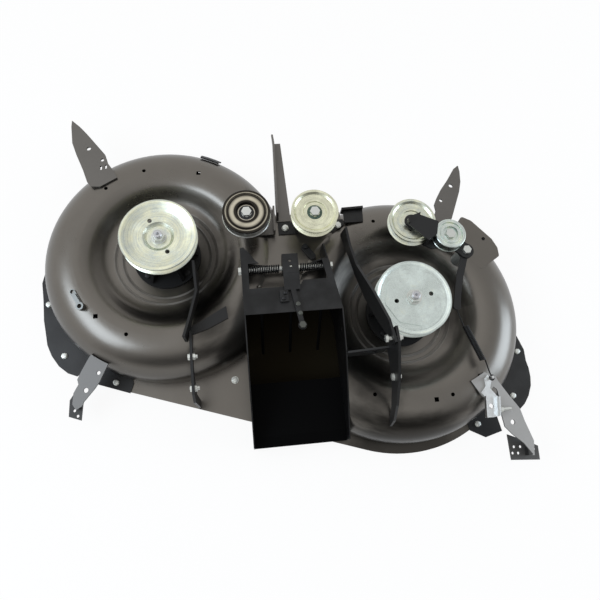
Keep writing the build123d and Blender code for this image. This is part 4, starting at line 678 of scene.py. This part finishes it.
def set_out(name, shape, places, finish):
    """A shape on each (point, turn, stretch) place, as one plain mesh."""
    points = bpy.data.meshes.new(name)
    points.from_pydata([place[0] for place in places], [], [])
    for label, index in (("turn", 1), ("stretch", 2)):
        layer = points.attributes.new(label, "FLOAT_VECTOR", "POINT")
        for row, place in zip(layer.data, places):
            row.vector = place[index]
    holder = bpy.data.objects.new(name + "_shape", shape)
    bpy.context.scene.collection.objects.link(holder)
    inputs = {"Shape": holder, "Finish": finish}
    mesh = grown(name, tree_named("set_fasteners", fastener_tree), inputs, points)
    bpy.data.objects.remove(holder)
    return mesh


def tree_named(name, maker):
    return bpy.data.node_groups.get(name) or maker()


def finish_named(name, maker, *values):
    return bpy.data.materials.get(name) or maker(name, *values)


def joined(name, meshes):
    """Several meshes as one, with the first one's material."""
    work = bmesh.new()
    for mesh in meshes:
        work.from_mesh(mesh)
    result = bpy.data.meshes.new(name)
    work.to_mesh(result)
    work.free()
    result.materials.append(meshes[0].materials[0])
    return result


# Settings


class DeckStageSettings(bpy.types.PropertyGroup):
    """Camera, lamps and background."""

    eye: FloatVectorProperty(
        name="Eye", description="Where the camera stands", default=(-0.0891, -0.3786, 1.1747), subtype="XYZ",
        unit="LENGTH",
    )
    heading: FloatProperty(
        name="Heading", description="Turn of the view clockwise from forward", default=math.radians(19.0),
        subtype="ANGLE",
    )
    pitch: FloatProperty(
        name="Pitch", description="Tilt of the view below the horizon", default=math.radians(72.2),
        subtype="ANGLE",
    )
    roll: FloatProperty(
        name="Roll", description="Turn of the camera about its own axis", default=math.radians(14.1),
        subtype="ANGLE",
    )
    lens: FloatProperty(name="Lens", description="Focal length in millimetres", default=31.86)
    sky: FloatProperty(name="Sky", description="Brightness of the studio overhead and in front", default=0.92)
    rear: FloatProperty(name="Rear", description="Share of that brightness behind the machine", default=0.14)
    window: FloatProperty(name="Windows", description="Brightness of the two side windows", default=3.4)
    floor_size: FloatProperty(name="Floor", description="Side of the floor", default=14.0, unit="LENGTH")
    floor_glow: FloatProperty(
        name="Floor Glow", description="Share of plain white in the floor", default=0.90, subtype="FACTOR",
    )


class DeckPaintSettings(bpy.types.PropertyGroup):
    """Colours of the finishes."""

    shell: FloatVectorProperty(
        name="Shell", description="Warm grey coat of the shell", default=(0.190, 0.176, 0.157),
        subtype="COLOR",
    )
    bracket: FloatVectorProperty(
        name="Brackets", description="Grey coat of the front brackets", default=(0.165, 0.155, 0.142),
        subtype="COLOR",
    )
    # The rear brackets' grey is set lighter than the front brackets' grey for how they face the lamps: a
    # painted highlight
    light: FloatVectorProperty(
        name="Rear brackets", description="Light coat of the rear brackets", default=(0.29, 0.28, 0.265),
        subtype="COLOR",
    )
    black: FloatVectorProperty(
        name="Black", description="Black of the plates and the chute", default=(0.0025, 0.0025, 0.0026),
        subtype="COLOR",
    )
    zinc_warm: FloatVectorProperty(
        name="Warm zinc", description="Cream side of the zinc plate", default=(0.82, 0.82, 0.62),
        subtype="COLOR",
    )
    zinc_cool: FloatVectorProperty(
        name="Cool zinc", description="Blue side of the zinc plate", default=(0.76, 0.84, 0.80),
        subtype="COLOR",
    )
    brass: FloatVectorProperty(
        name="Burnished", description="Burnished rings of the flat idler", default=(0.62, 0.57, 0.45),
        subtype="COLOR",
    )


class DeckHardwareSettings(bpy.types.PropertyGroup):
    """Sizes of the springs and fasteners."""

    wire: FloatProperty(
        name="Spring wire", description="Radius of the tension spring's wire", default=1.5 * MM,
        unit="LENGTH",
    )
    torsion_wire: FloatProperty(
        name="Torsion wire", description="Radius of the torsion springs' wire", default=1.7 * MM,
        unit="LENGTH",
    )
    torsion_pitch: FloatProperty(
        name="Torsion pitch", description="Step of the torsion springs", default=4.6 * MM, unit="LENGTH",
    )
    thread_pitch: FloatProperty(
        name="Thread pitch", description="Step of the shaft threads", default=1.75 * MM, unit="LENGTH",
    )
    head: FloatProperty(name="Bolt head", description="Height of a hex head", default=5.0 * MM, unit="LENGTH")
    seal_sides: IntProperty(name="Seal sides", description="Sides of a bearing seal", default=72)


# Operators


def black(name="black_paint", gloss=0.26, dust=0.08, shine=0.08):
    return finish_named(name, black_paint, tuple(bpy.context.scene.deck_paint.black), gloss, dust, shine)


def fastener_zinc():
    return finish_named("fastener_zinc", bright_zinc, (0.60, 0.61, 0.57))


class DECK_OT_stage(bpy.types.Operator):
    """Floor, studio light and camera."""

    bl_idname = "deck.stage"
    bl_label = "Stage"

    def execute(self, context):
        settings = context.scene.deck_stage
        context.scene.view_settings.view_transform = "Standard"
        self.make_world(settings)
        self.make_floor(settings)
        self.make_camera(settings)
        self.window("left_window", (-1.81, -0.32, 1.84), 1.7, 1.1, settings.window)
        self.window("right_window", (2.49, -0.31, 0.85), 1.2, 1.5, settings.window)
        return {"FINISHED"}

    def make_world(self, settings):
        """An even sky that falls off to the rear and, less, to the right; plain white to the camera."""
        world = bpy.data.worlds.new("studio")
        bpy.context.scene.world = world
        world.use_nodes = True
        nodes = Nodes(world.node_tree)
        direction = nodes.add("ShaderNodeTexCoord", None, None, "Generated")
        behind = nodes.facing(direction, (0.12, -0.95, -0.25)).between(0.12, 0.78)
        right = nodes.facing(direction, (0.80, 0.10, 0.59)).between(0.45, 0.95)
        glow = settings.sky * (1 - (1 - settings.rear) * behind) * (1 - 0.30 * right)
        camera = nodes.add("ShaderNodeLightPath", None, None, "Is Camera Ray")
        low = 1 - nodes.axes(direction)[2].between(0.08, 0.22)
        seen = camera.most(camera.also("Is Transmission Ray")).most(0.6 * camera.also("Is Glossy Ray") * low)
        glow = glow + (1 - glow) * seen
        backdrop = nodes.add("ShaderNodeBackground", None, {"Color": (1, 1, 1, 1), "Strength": glow})
        nodes.add("ShaderNodeOutputWorld", None, {"Surface": backdrop})

    def make_floor(self, settings):
        """Pale floor that stays white round the machine, with a painted shadow beneath it."""
        material, nodes = new_finish("studio_floor")
        camera = nodes.add("ShaderNodeLightPath", None, None, "Is Camera Ray")
        seen = camera.most(camera.also("Is Transmission Ray")).most(0.6 * camera.also("Is Glossy Ray"))
        under = self.beneath(nodes)
        # Painted shadow: dark brown under the deck, where the floor also loses its glow
        colour = nodes.mix(under, (0.90, 0.90, 0.90), (0.016, 0.013, 0.008))
        matt = nodes.add("ShaderNodeBsdfDiffuse", None, {"Color": colour})
        glow = nodes.add("ShaderNodeEmission", None, {"Color": (1, 1, 1, 1), "Strength": 1.0})
        share = seen * settings.floor_glow * (1 - under)
        mixed = nodes.add("ShaderNodeMixShader", None, {0: share, 1: matt, 2: glow})
        nodes.add("ShaderNodeOutputMaterial", None, {"Surface": mixed})
        half = settings.floor_size / 2
        mesh = bpy.data.meshes.new("floor")
        level = CAD_BOX[0][2] - 0.2 * MM
        corners = [(-half, -half, level), (half, -half, level), (half, half, level), (-half, half, level)]
        mesh.from_pydata(corners, [], [(0, 1, 2, 3)])
        mesh.materials.append(material)
        floor = bpy.data.objects.new("floor", mesh)
        bpy.context.scene.collection.objects.link(floor)

    def beneath(self, nodes):
        """1 where the floor gets its painted shadow, under the two bowls and the chute, 0 elsewhere."""
        low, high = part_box("chute_frame")
        x, y = nodes.axes(nodes.object_space(middle("chute_frame")))[:2]
        under = (x.size() < (high.x - low.x) / 2) * (y.size() < (high.y - low.y) / 2 - 4 * MM)
        for side, reach in SHADED_FLOOR.items():
            x, y = nodes.axes(nodes.object_space(middle(f"{side}_spindle_housing")))[:2]
            under = under.most((x * x + y * y) ** 0.5 < reach * MM)
        return under

    def make_camera(self, settings):
        data = bpy.data.cameras.new("photo_camera")
        data.sensor_width = 36.0
        data.lens = settings.lens
        camera = bpy.data.objects.new("photo_camera", data)
        turn = Matrix.Rotation(-settings.heading, 4, "Z")
        tilt = Matrix.Rotation(math.pi / 2 - settings.pitch, 4, "X")
        roll = Matrix.Rotation(settings.roll, 4, "Z")
        camera.matrix_world = Matrix.Translation(settings.eye) @ turn @ tilt @ roll
        bpy.context.scene.collection.objects.link(camera)
        bpy.context.scene.camera = camera

    def window(self, name, place, width, height, brightness):
        """Bluish daylight panel that looks at the machine; its power follows from its brightness and area."""
        data = bpy.data.lights.new(name, "AREA")
        data.shape = "RECTANGLE"
        data.size = width
        data.size_y = height
        data.energy = 4.0 * brightness * width * height
        data.color = (0.72, 0.85, 1.0)
        lamp = bpy.data.objects.new(name, data)
        aim = Vector((0, 0, 0.1)) - Vector(place)
        lamp.matrix_world = Matrix.Translation(place) @ aim.to_track_quat("-Z", "Y").to_matrix().to_4x4()
        bpy.context.scene.collection.objects.link(lamp)


class DECK_OT_painted_parts(bpy.types.Operator):
    """Coats on the shell, the brackets, the chute and the plates."""

    bl_idname = "deck.painted_parts"
    bl_label = "Painted parts"

    def execute(self, context):
        paint = context.scene.deck_paint
        centres = [middle(f"{side}_spindle_housing") for side in SIDES]
        # Shell coat with painted shade on steep walls and in ovals, and painted highlights on the step brows
        shell = pressed_paint("shell_paint", tuple(paint.shell), 0.98, 0.29, 0.6, centres, SHELL_PAINTED_SHADE)
        dress(shell, "deck_shell")
        grey = pressed_paint("bracket_paint", tuple(paint.bracket), 0.7, 0.38)
        dress(grey, "front_left_bracket", "front_right_bracket", "front_arm", "flat_idler_bracket")
        # Lit and shaded copies of one grey: each side scaled as painted shade and highlight, with painted
        # shade below the foot
        for side, (share, foot) in REAR_BRACKET_SHADING.items():
            colour = tuple(share * value for value in paint.light)
            pale = pressed_paint(f"{side}_lit_and_shaded_paint", colour, 0.20, 0.50, 0.30, foot=foot * MM)
            dress(pale, f"rear_{side}_bracket")
        dusty = black("roof_black", 0.34, 0.7, 0.34)
        dress(dusty, "chute_frame", "chute_latch", "belt_keeper")
        matt = black("chute_black", 0.50, 0.0, 0.02)
        dress(matt, "chute_floor", "guard_bars")
        deep = black()
        dress(deep, "tension_arm", "left_brace", "right_brace", "mid_idler_bracket", "stop_plate")
        for side in SIDES:
            dress(deep, f"{side}_hanger_front", f"{side}_hanger_rear", f"{side}_rear_clamp")
            dress(black("slate_black", 0.30, 0.5, 0.50), f"{side}_corner_plate")
            cast = finish_named("cast_black", sand_cast, (0.010, 0.010, 0.011))
            dress(cast, f"{side}_spindle_housing")
            blade = f"{side}_blade"
            dress(scuffed_blade(blade + "_black", blade, (0.012, 0.012, 0.012), (0.35, 0.35, 0.34)), blade)
        return {"FINISHED"}


class DECK_OT_pulleys(bpy.types.Operator):
    """Zinc on the pulleys and idlers, steel on the shafts, and the bearing seals."""

    bl_idname = "deck.pulleys"
    bl_label = "Pulleys and idlers"

    def execute(self, context):
        paint = context.scene.deck_paint
        warm, cool = tuple(paint.zinc_warm), tuple(paint.zinc_cool)
        for node, warmth, turned_from in (
            ("left_spindle_pulley", 0.55, 0.0), ("right_spindle_pulley", 0.22, 60.0),
            ("mid_idler", 0.85, 0.0), ("v_idler", 0.55, 0.0), ("small_idler", 0.35, 0.0),
        ):
            dress(turned_zinc(f"{node}_zinc", node, warm, cool, warmth, turned_from), node)
        dark, bright = (0.035, 0.031, 0.026), (0.78, 0.78, 0.74)
        dress(burnished_idler("dark_idler", "flat_idler", dark, tuple(paint.brass), bright), "flat_idler")
        steel = finish_named("bright_steel", bright_zinc, (0.56, 0.56, 0.55))
        for side in SIDES:
            dress(steel, f"{side}_spindle_shaft", f"{side}_bearings")
        rubber = finish_named("seal_rubber", seal_rubber, (0.012, 0.012, 0.012))
        green = finish_named("green_seal", seal_rubber, (0.050, 0.085, 0.062))
        for node in SEALED_IDLERS:
            self.seal(node, green if node == "mid_idler" else rubber, context.scene.deck_hardware.seal_sides)
        return {"FINISHED"}

    def seal(self, node, rubber, sides):
        """Lipped seal in the groove round an idler's bore."""
        centre = middle(node)
        centre.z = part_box(node)[1].z
        work = bmesh.new()
        lathe(work, [(radius * MM, height * MM) for radius, height in SEAL_SECTION], centre, sides)
        piece(f"{node}_seal", mesh_of(f"{node}_seal", work, rubber), node, "black_paint")


class DECK_OT_springs(bpy.types.Operator):
    """Wound torsion springs on the chute rod, the tension spring and the shaft threads."""

    bl_idname = "deck.springs"
    bl_label = "Springs and threads"

    def execute(self, context):
        sizes = context.scene.deck_hardware
        wire = finish_named("spring_steel", drawn_wire, (0.014, 0.014, 0.015))
        for side in SIDES:
            self.torsion(side, sizes, wire)
            self.thread(side, sizes)
        self.tension(sizes, wire)
        return {"FINISHED"}

    def torsion(self, side, sizes, wire):
        node = f"{side}_torsion_spring"
        low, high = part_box(node)
        length = high.x - low.x - 2 * sizes.torsion_wire
        inputs = {
            "Turns": length / sizes.torsion_pitch,
            "Coil Radius": (high.z - low.z) / 2 - sizes.torsion_wire,
            "Length": length,
            "Wire Radius": sizes.torsion_wire,
            "Finish": wire,
        }
        mesh = grown(f"{node}_coil", tree_named("wound_wire", coil_tree), inputs)
        start = Vector((low.x + sizes.torsion_wire, (low.y + high.y) / 2, (low.z + high.z) / 2))
        mesh.transform(Matrix.Translation(start) @ Matrix.Rotation(math.pi / 2, 4, "Y"))
        piece(f"{node}_coil", mesh, "deck", "spring_steel", node)

    def thread(self, side, sizes):
        """Thread turns on the shaft end above the nut."""
        nut_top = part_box(f"{side}_pulley_nut")[1].z
        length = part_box(f"{side}_spindle_shaft")[1].z - nut_top - 2.4 * MM
        inputs = {
            "Turns": length / sizes.thread_pitch,
            "Coil Radius": 8.2 * MM,
            "Length": length,
            "Wire Radius": 0.7 * MM,
            "Finish": fastener_zinc(),
        }
        mesh = grown(f"{side}_shaft_thread", tree_named("wound_wire", coil_tree), inputs)
        centre = middle(f"{side}_spindle_shaft")
        mesh.transform(Matrix.Translation((centre.x, centre.y, nut_top + 0.7 * MM)))
        piece(f"{side}_shaft_thread", mesh, f"{side}_spindle", "bright_steel")

    def tension(self, sizes, wire):
        """Close-wound coil with a straight lead and an eye at each end."""
        places = [vertex.co for vertex in NODES["tension_spring"].data.vertices]
        eye = 6.3 * MM
        ends = []
        for edge, sign in ((min(place.y for place in places), 1), (max(place.y for place in places), -1)):
            near = [place for place in places if (place.y - edge) * sign < 2 * eye]
            mid = [sum(pick(place[axis] for place in near) for pick in (min, max)) / 2 for axis in range(3)]
            ends.append(Vector((mid[0], edge + sign * eye, mid[2])))
        anchor, hook = ends
        pull = (hook - anchor).normalized()
        across = pull.cross(Vector((0, 0, 1))).normalized()
        over = across.cross(pull)
        reach = (hook - anchor).length
        ring = eye - sizes.wire
        coil = 6.5 * MM - sizes.wire
        first, last = 0.25 * reach, 0.73 * reach
        pitch = 2.12 * sizes.wire
        turns = (last - first) / pitch
        steps = int(turns * COIL_STEPS)
        sweep = [math.pi * (1 + EYE_TURN * step / (EYE_STEPS - 1)) for step in range(EYE_STEPS)]
        points = []
        for turn in reversed(sweep):
            points.append(anchor - ring * (math.cos(turn) * pull + math.sin(turn) * across))
        for step in range(steps + 1):
            share = step / steps
            turn = 2 * math.pi * turns * share
            along = anchor + pull * (first + (last - first) * share)
            points.append(along + coil * (math.cos(turn) * across + math.sin(turn) * over))
        for turn in sweep:
            points.append(hook + ring * (math.cos(turn) * pull + math.sin(turn) * across))
        inputs = {"Wire Radius": sizes.wire, "Finish": wire}
        path = path_mesh("tension_spring_path", points)
        mesh = grown("tension_spring_coil", tree_named("bent_wire", wire_tree), inputs, path)
        spring = bpy.data.objects.new("tension_spring_coil", mesh)
        bpy.context.scene.collection.objects.link(spring)
        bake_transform(spring)
        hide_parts("tension_spring")


class DECK_OT_fasteners(bpy.types.Operator):
    """Hex bolts, nuts and screws with washers and turned corners."""

    bl_idname = "deck.fasteners"
    bl_label = "Fasteners"

    def execute(self, context):
        zinc = fastener_zinc()
        for node in NODES:
            if node.endswith(("_bolt", "_nut", "_screw")) or node == "chute_rod":
                dress(zinc, node)
        dress(finish_named("bracket_zinc", bright_zinc, (0.70, 0.71, 0.70)), "cable_bracket")
        dress(finish_named("washout_zinc", bright_zinc, (0.17, 0.17, 0.16)), "washout_fitting")
        head = context.scene.deck_hardware.head
        for node in ("plate_bolts", "bracket_bolts"):
            self.upright_bolts(node, head, zinc)
        self.upright_bolts("housing_bolts", head, black("bolt_black", 0.36, 0.3, 0.40))
        self.cross_bolts("hanger_bolts", head, zinc)
        self.small_screws(head, zinc)
        return {"FINISHED"}

    def small_screws(self, head, zinc):
        """Flange bolt in the rear flange, two screws on the latch arm, and a guessed black nut under the ear
        that stands in for the shade in its hole.
        """
        shape = hex_shape("flange_bolt_head", 12.0 * MM, head, 8.0 * MM, 1.2 * MM)
        seat = on_top("deck_shell", *(place * MM for place in FLANGE_BOLT))
        mesh = set_out("flange_bolt", shape, [(seat, (0, 0, 0.3), AS_MADE)], zinc)
        piece("flange_bolt", mesh, "deck", "fastener_zinc")
        dull = finish_named("dull_zinc", bright_zinc, (0.11, 0.115, 0.105))
        shape = hex_shape("latch_screw_head", 7.0 * MM, 3.0 * MM, 4.6 * MM, 0.8 * MM)
        places = [(on_top("chute_latch", x * MM, y * MM), (0, 0, x), AS_MADE) for x, y in LATCH_SCREWS]
        piece("latch_screws", set_out("latch_screws", shape, places, dull), "chute_latch", "fastener_zinc")
        # A guessed black nut in the ear's hole, a dark piece standing in for the shade there
        heading = math.radians(EAR_HEADING)
        out = Vector((math.cos(heading), math.sin(heading), 0)) * EAR_RADIUS * MM
        hole = middle("right_spindle_housing") + out
        seat = on_top("deck_shell", hole.x + 11.0 * MM, hole.y) - Vector((11.0, 0, 14.0)) * MM
        shape = hex_shape("ear_nut_head", 16.0 * MM, 5.0 * MM, 9.0 * MM, 0.8 * MM)
        mesh = set_out("ear_nut", shape, [(seat, (0, 0, 0.2), AS_MADE)], black())
        piece("ear_nut", mesh, "deck", "black_paint")
        dress(dull, "latch_bolt")
        dress(black("bolt_black"), "v_idler_bolt")

    def upright_bolts(self, node, head, zinc):
        boxes = solids_of(node)
        across = boxes[0][1].y - boxes[0][0].y
        heads, shanks, nuts = [], [], []
        for index, (low, high) in enumerate(boxes):
            seat = Vector(((low.x + high.x) / 2, (low.y + high.y) / 2, high.z - head))
            heads.append((seat, (0, 0, 0.7 * index), AS_MADE))
            shanks.append((seat, (math.pi, 0, 0), (1, 1, seat.z - low.z)))
            if node == "housing_bolts":
                nuts.append((seat - Vector((0, 0, 9.0 * MM)), (math.pi, 0, 0.4), AS_MADE))
        self.place_bolts(node, across, head, zinc, heads, shanks, nuts)

    def cross_bolts(self, node, head, zinc):
        boxes = solids_of(node)
        across = boxes[0][1].z - boxes[0][0].z
        left_turn, right_turn = (0, -math.pi / 2, 0), (0, math.pi / 2, 0)
        heads, shanks = [], []
        for low, high in boxes:
            y, z = (low.y + high.y) / 2, (low.z + high.z) / 2
            seat = low.x + head
            nut_seat = high.x - 2 * head + 1.0 * MM
            heads.append((Vector((seat, y, z)), left_turn, AS_MADE))
            heads.append((Vector((nut_seat, y, z)), right_turn, AS_MADE))
            shanks.append((Vector((seat, y, z)), right_turn, (1, 1, high.x - seat)))
        self.place_bolts(node, across, head, zinc, heads, shanks, [])

    def place_bolts(self, node, across, head, zinc, heads, shanks, nuts):
        """Heads, shanks and any nuts as one piece that stands for the node."""
        shape = hex_shape(node + "_head", across, head, 0.60 * across, 1.1 * MM)
        meshes = [set_out(node + "_heads", shape, heads, zinc)]
        meshes.append(set_out(node + "_shanks", self.shank_shape(4.0 * MM), shanks, zinc))
        if nuts:
            nut = hex_shape(node + "_nut", across, head, 0.55 * across, 1.0 * MM)
            meshes.append(set_out(node + "_nuts", nut, nuts, zinc))
        piece(node + "_detailed", joined(node + "_detailed", meshes), "deck", "fastener_zinc", node)

    def shank_shape(self, radius):
        """Round shank of unit length along +Z."""
        work = bmesh.new()
        bmesh.ops.create_cone(
            work, cap_ends=True, segments=24, radius1=radius, radius2=radius, depth=1.0,
            matrix=Matrix.Translation((0, 0, 0.5)),
        )
        return mesh_of("shank", work, None, 40.0)


class DECK_OT_clips(bpy.types.Operator):
    """Rim clip on the left bowl, catch block on the chute roof and two wire staples."""

    bl_idname = "deck.clips"
    bl_label = "Clips"

    def execute(self, context):
        deep = black()
        self.rim_clip(deep)
        self.catch_block(deep)
        tree = tree_named("bent_wire", wire_tree)
        bright = finish_named("staple_wire", bright_zinc, (0.62, 0.60, 0.54))
        half, height = STAPLE_HALF * MM, STAPLE_HEIGHT * MM
        inputs = {"Wire Radius": STAPLE_WIRE * MM, "Finish": bright}
        for side, (x, y) in STAPLES.items():
            foot = on_top("deck_shell", x * MM, y * MM)
            path = [foot + Vector((half, 0, 0))]
            for turn in (math.pi * step / 12 for step in range(13)):
                path.append(foot + Vector((half * math.cos(turn), 0, height + half * math.sin(turn))))
            path.append(foot - Vector((half, 0, 0)))
            name = f"{side}_wire_staple"
            mesh = grown(name, tree, inputs, path_mesh(name, path))
            piece(name, mesh, "deck", "spring_steel")
        return {"FINISHED"}

    def rim_clip(self, finish):
        """Folded strip that hooks over the shoulder of the left bowl at the front."""
        base = middle("left_spindle_housing")
        base.z = 0
        work = bmesh.new()
        rows = []
        for step in range(CLIP_STEPS + 1):
            turn = math.radians(CLIP_FROM + CLIP_SWEEP * step / CLIP_STEPS)
            out = Vector((math.cos(turn), math.sin(turn), 0)) * MM
            points = [base + out * radius + Vector((0, 0, height * MM)) for radius, height in CLIP_SECTION]
            rows.append([work.verts.new(point) for point in points])
        join_rows(work, zip(rows, rows[1:]))
        work.faces.new(rows[0])
        work.faces.new(list(reversed(rows[-1])))
        piece("rim_clip", mesh_of("rim_clip", work, finish), "deck", "black_paint")

    def catch_block(self, finish):
        """Chamfered block with two round-topped knobs on the chute roof, left of the latch arm."""
        seat = on_top("chute_frame", -15.0 * MM, -66.0 * MM)
        work = bmesh.new()
        size = Matrix.Diagonal((17 * MM, 24 * MM, 7 * MM, 1))
        place = Matrix.Translation(seat + Vector((0, 0, 3.5 * MM)))
        bmesh.ops.create_cube(work, size=1.0, matrix=place @ size)
        bmesh.ops.bevel(work, geom=work.edges[:], offset=1.4 * MM, segments=2, profile=0.6, affect="EDGES")
        knob = [(radius * MM, height * MM) for radius, height in KNOB_SECTION]
        for shift in (-5.5, 5.5):
            lathe(work, knob, seat + Vector((shift / 3 * MM, shift * MM, 0)), 28)
        piece("catch_block", mesh_of("catch_block", work, finish), "deck", "black_paint")


class DECK_PT_panel(bpy.types.Panel):
    """Buttons and settings of the mower deck."""

    bl_idname = "DECK_PT_panel"
    bl_label = "Mower deck"
    bl_space_type = "VIEW_3D"
    bl_region_type = "UI"
    bl_category = "Deck"

    def draw(self, context):
        for operator in OPERATORS:
            self.layout.operator(operator.bl_idname)
        for group in SETTINGS:
            box = self.layout.box()
            settings = getattr(context.scene, group)
            for name in settings.bl_rna.properties.keys():
                if name not in ("rna_type", "name"):
                    box.prop(settings, name)


OPERATORS = (DECK_OT_stage, DECK_OT_painted_parts, DECK_OT_pulleys, DECK_OT_springs, DECK_OT_fasteners,
             DECK_OT_clips)
SETTINGS = {
    "deck_stage": DeckStageSettings,
    "deck_paint": DeckPaintSettings,
    "deck_hardware": DeckHardwareSettings,
}


def register():
    for group in SETTINGS.values():
        bpy.utils.register_class(group)
    for name, group in SETTINGS.items():
        setattr(bpy.types.Scene, name, PointerProperty(type=group))
    for operator in OPERATORS:
        bpy.utils.register_class(operator)
    bpy.utils.register_class(DECK_PT_panel)


def unregister():
    bpy.utils.unregister_class(DECK_PT_panel)
    for operator in reversed(OPERATORS):
        bpy.utils.unregister_class(operator)
    for name in SETTINGS:
        delattr(bpy.types.Scene, name)
    for group in reversed(SETTINGS.values()):
        bpy.utils.unregister_class(group)


def main():
    register()
    bpy.ops.deck.stage()
    bpy.ops.deck.painted_parts()
    bpy.ops.deck.pulleys()
    bpy.ops.deck.springs()
    bpy.ops.deck.fasteners()
    bpy.ops.deck.clips()


if __name__ == "__main__":
    main()
